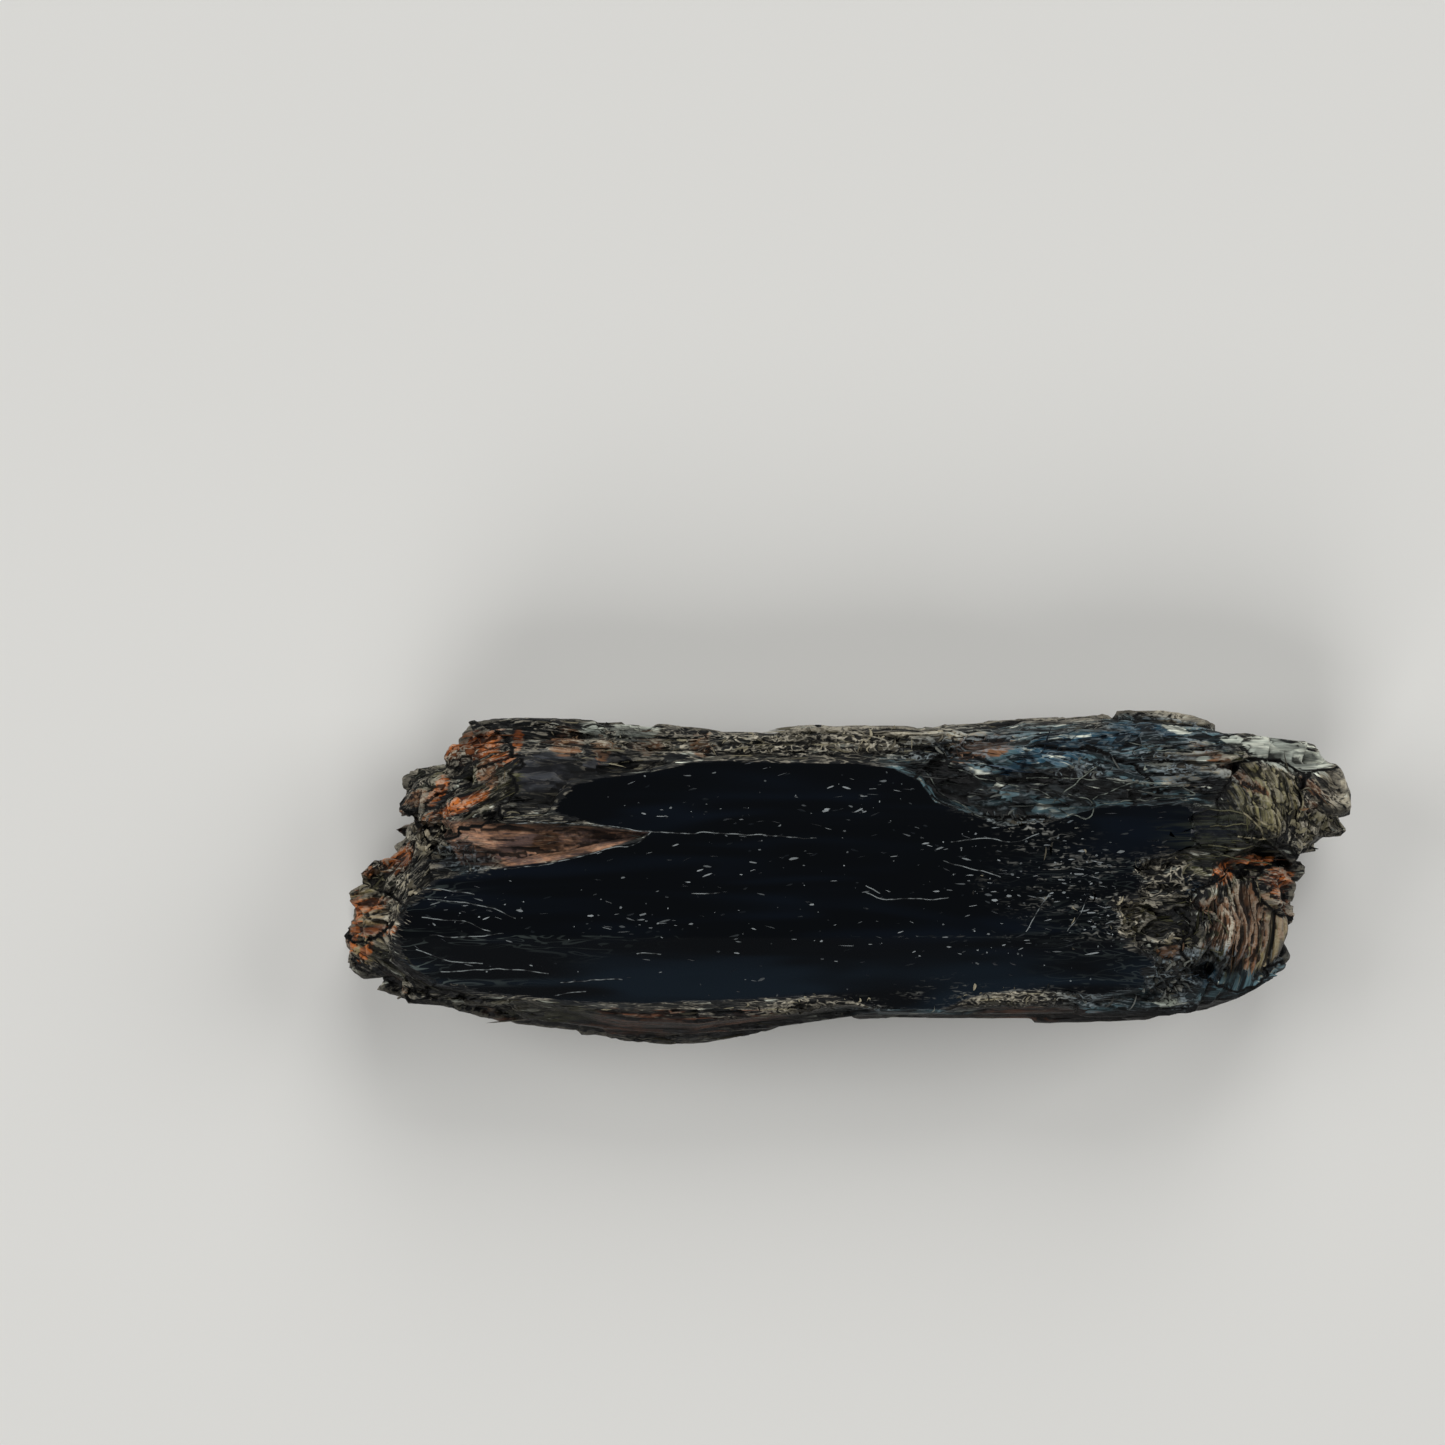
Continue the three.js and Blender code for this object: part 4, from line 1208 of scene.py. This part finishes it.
# Fine cracks in the window, and the two long edges of the wedge
HAIRLINES = [
    [(-16, 4.0), (-12, 3.9), (-7.1, 3.7), (-2.6, 3.5)],
    [(-34.2, -1.5), (-30.8, -1.8), (-28.3, -2.4), (-27, -3)],
    [(-35.2, -5.6), (-33.2, -6.3), (-29.8, -6.7)], [(-33.2, -7.4), (-28.3, -7.2), (-24.4, -7.5)],
    [(-23.4, -8.4), (-21, -8.1), (-18.4, -8.0)], [(-23.8, -9.4), (-22.6, -9.1), (-21.3, -9.0)],
    [(-17.2, -5.9), (-15.2, -5.9)], [(-12.8, -1.0), (-10.4, -0.9)],
    [(1.5, -0.8), (2.6, -1.4), (5.1, -1.5), (7.3, -1.5), (8.3, -1.2)], [(2.6, -1.0), (1.5, -0.3)],
    [(14.5, -4.1), (15.2, -2.8), (16.6, -0.7)], [(17.8, -4.1), (18.6, -3.0), (19.5, -1.4)],
    [(7.7, 1.6), (9.9, 1.1), (12.4, 0.3)], [(8.5, 3.2), (11.0, 3.5), (13.6, 3.2), (15.6, 3.9)],
    [(-34.6, -3.0), (-32.0, -3.2), (-29.0, -4.1)], [(-34.0, -4.4), (-31.0, -4.6), (-28.0, -4.2)],
    [(-35.6, -0.6), (-33.0, -0.7), (-30.4, -1.0)], [(-27.9, 4.6), (-23.4, 4.7), (-19.4, 4.4), (-16, 4.0)],
    [(-27.9, 1.0), (-23.4, 1.6), (-19.4, 2.6), (-16.9, 3.2), (-16, 4.0)],
]
# Pale edges of long blades on the right shoulder and beyond the trough
LONG_EDGES = [
    [(5.9, 9.2), (7.4, 7.4), (10.2, 5.6), (13.4, 4.8)], [(8.2, 9.4), (11.6, 8.2), (15.4, 7.4), (18.0, 6.2)],
    [(18.1, 7.2), (19.9, 6.3), (20, 5.6), (18.2, 5.3), (17.3, 5.9)],
    [(16.8, 6.4), (18.2, 7.7), (20.6, 9.3)],
    [(19.9, 6.6), (22.6, 7.7), (26.4, 7.8), (28.5, 7.2)], [(20.4, 6.2), (24.0, 6.6), (28.5, 7.1)],
    [(22.6, 11.3), (26.4, 10.6), (30.2, 10.7), (33.0, 9.9)], [(14.6, 8.4), (18.8, 8.4), (22.6, 7.9)],
]
# Blades in the trough that turn pale at their right ends
TROUGH_BLADES = [
    [(28.6, 5.6), (30.8, 5.7), (32.5, 5.5)], [(29.6, 4.4), (31.6, 4.5), (33.0, 4.6)],
    [(29.4, 2.8), (31.6, 2.7), (33.4, 2.9)], [(28.8, 2.1), (31.6, 1.9), (35.0, 1.2)],
    [(23.6, -5.0), (27.0, -5.2), (30.4, -5.8)], [(27.4, -2.8), (30.4, -3.3), (31.2, -4.4)],
]
# The pale fishtail beside the upper pack, and the pack's outer rim
PALE_RIMS = [
    [(32.3, 5.6), (33.1, 5.0), (33.8, 4.2), (34.1, 3.4)],
    [(31.9, 3.6), (33.0, 3.5), (34.1, 3.4), (35.4, 3.7)],
    [(35.6, 9.0), (36.9, 7.8), (37.5, 6.4), (36.9, 4.9)], [(33.4, 5.2), (34.0, 4.7), (34.8, 4.6)],
]


def bent_plates(middle, stretch, radii, angles, salt):
    """Broken arcs round a middle, with uneven gaps and ends."""
    luck = np.random.default_rng(salt)
    lines = []
    for radius in np.arange(*radii):
        ends = np.radians(angles) + luck.uniform(-0.2, 0.2, 2)
        crack = luck.uniform(*ends)
        for first, last in ((ends[0], crack - 0.04), (crack + 0.04, ends[1])):
            if last - first > 0.15:
                turns = np.linspace(first, last, 5)
                out = radius + luck.uniform(-0.1, 0.1) + luck.uniform(-0.08, 0.08, 5)
                x = middle[0] + out * np.cos(turns)
                y = middle[1] + out * np.sin(turns) / stretch
                lines.append(list(zip(x, y)))
    return lines


plate_lines = bent_plates(UPPER_PACK, 0.8, (4.2, 8.0, 0.6), (-2, 24), salt=5)
plate_lines += bent_plates(LOWER_PACK, 0.75, (8.8, 11.4, 0.8), (-14, 4), salt=6)
print("Bent plates:", len(plate_lines), "and hairlines:", len(HAIRLINES))

# %% The recipe that lays them
def laying():
    r = Recipe("laid_on_the_stone")
    inputs = {"Curve": r.geometry, "Length": 0.25 * MM}
    even = r.node("GeometryNodeResampleCurve", {"mode": "LENGTH"}, inputs)
    inputs = {"Scale": 0.5 / MM, "Detail": 2.0}
    drift = r.vector("SUBTRACT", r.node("ShaderNodeTexNoise", {}, inputs, "Color"), (0.5, 0.5, 0.5))
    shift = r.vector("SCALE", drift, r.asked("Wobble", "Float"))
    wavy = r.node("GeometryNodeSetPosition", {}, {"Geometry": even, "Offset": shift})
    stone = r.node("GeometryNodeObjectInfo", {}, {"Object": r.asked("Stone", "Object")}, "Geometry")
    ray = {"Target Geometry": stone, "Ray Direction": (0.0, 0.0, -1.0), "Ray Length": 0.05}
    hit = r.node("GeometryNodeRaycast", {}, ray, "Is Hit")
    inputs = {"Geometry": wavy, "Selection": 1 - hit}
    above = r.node("GeometryNodeDeleteGeometry", {"domain": "POINT"}, inputs)
    halfway = r.node("GeometryNodeSplineParameter") * math.pi
    swell = r.node("ShaderNodeMath", {"operation": "SINE"}, {0: halfway})
    laid = r.node("GeometryNodeSetPosition", {}, {"Geometry": above, "Position": hit.other("Hit Position")})
    upright = r.node("GeometryNodeSetCurveNormal", {"mode": "Z_UP"}, {"Curve": laid})
    uneven = 0.2 + 1.6 * r.node("ShaderNodeTexNoise", {}, {"Scale": 0.8 / MM, "Detail": 1.0})
    inputs = {"Curve": upright, "Radius": uneven * (0.3 + 0.7 * swell)}
    slim = r.node("GeometryNodeSetCurveRadius", {}, inputs)
    inputs = {"Width": r.asked("Width", "Float"), "Height": r.asked("Height", "Float")}
    section = r.node("GeometryNodeCurvePrimitiveQuadrilateral", {}, inputs)
    inputs = {"Curve": slim, "Profile Curve": section, "Fill Caps": True}
    return r.done(r.node("GeometryNodeCurveToMesh", {}, inputs))


def laid(name, lines, width, height, wobble, material):
    """Lines of one kind, with sizes in millimetres."""
    return worked(
        drawn(name, lines), lay, name, stone=stone, width=width * MM, height=height * MM,
        wobble=wobble * MM, material=material,
    )


lay = laying()
plate_stone = striped_stone("plate_stone", "1f1d15", "847b60", 0.7, 0.45, 0.65)
laid_pieces = [
    laid("hairlines", HAIRLINES, 0.07, 0.04, 0.6, striped_stone("hairline_stone", "0c0f11", "7d8383")),
    laid("long_edges", LONG_EDGES, 0.08, 0.12, 0.9, striped_stone("edge_stone", "101415", "6f756d")),
    laid("trough_blades", TROUGH_BLADES, 0.1, 0.12, 0.9, trough_stone()),
    laid("pale_rims", PALE_RIMS, 0.14, 0.16, 0.5, striped_stone("rim_stone", "2c2a20", "8e866c")),
    laid("bent_plates", plate_lines, 0.07, 0.16, 0.35, plate_stone),
]
print({mesh.name: len(mesh.polygons) for mesh in laid_pieces})

# %% Show the loose bits
for mesh in strewn_pieces + laid_pieces:
    show(mesh, mesh.name, mesh.materials[-1])
for group in (splinters, curls, flecks):
    for shape in list(group.objects):
        bpy.data.objects.remove(shape)
    bpy.data.collections.remove(group)

# %% [markdown]
# ## Table and light
#
# The stone lies on a pale table. Soft light comes from four large lamps, one on each side, low enough that
# none is mirrored in the window from above. The world itself is dim, so the window stays dark.

# %% Table
TABLE_HALF = 3.0
table_mesh = bpy.data.meshes.new("table")
corners = [(TABLE_HALF * x, TABLE_HALF * y, 0) for x, y in ((-1, -1), (1, -1), (1, 1), (-1, 1))]
table_mesh.from_pydata(corners, [], [(0, 1, 2, 3)])
table = in_scene(table_mesh, "table")
table_mesh.materials.append(plain_material("pale_table", "dddcd8", 0.7))
print("The table is", 2 * TABLE_HALF, "m wide")

# %% Lamps
LAMP_WIDTH = 0.6
# Each lamp's place in metres and its power in watts
LAMPS = {
    "front_lamp": ((-0.15, -0.75, 0.6), 4.8), "left_lamp": ((-0.85, 0.15, 0.6), 4.3),
    "right_lamp": ((0.85, 0.25, 0.6), 4.4), "back_lamp": ((0.1, 0.85, 0.6), 4.4),
}


def softbox(name, place, power):
    lamp = bpy.data.lights.new(name, "AREA")
    lamp.shape, lamp.size, lamp.energy = "SQUARE", LAMP_WIDTH, power
    box = bpy.data.objects.new(name, lamp)
    box.location = place
    box.rotation_euler = (-Vector(place)).to_track_quat("-Z", "Y").to_euler()
    bpy.context.scene.collection.objects.link(box)


for name, (place, power) in LAMPS.items():
    softbox(name, place, power)
world = bpy.data.worlds.new("studio")
world.use_nodes = True
sky = world.node_tree.nodes["Background"].inputs
sky["Color"].default_value = (0.9, 0.95, 1, 1)
sky["Strength"].default_value = 0.05
bpy.context.scene.world = world
bpy.context.scene.view_settings.view_transform = "Standard"
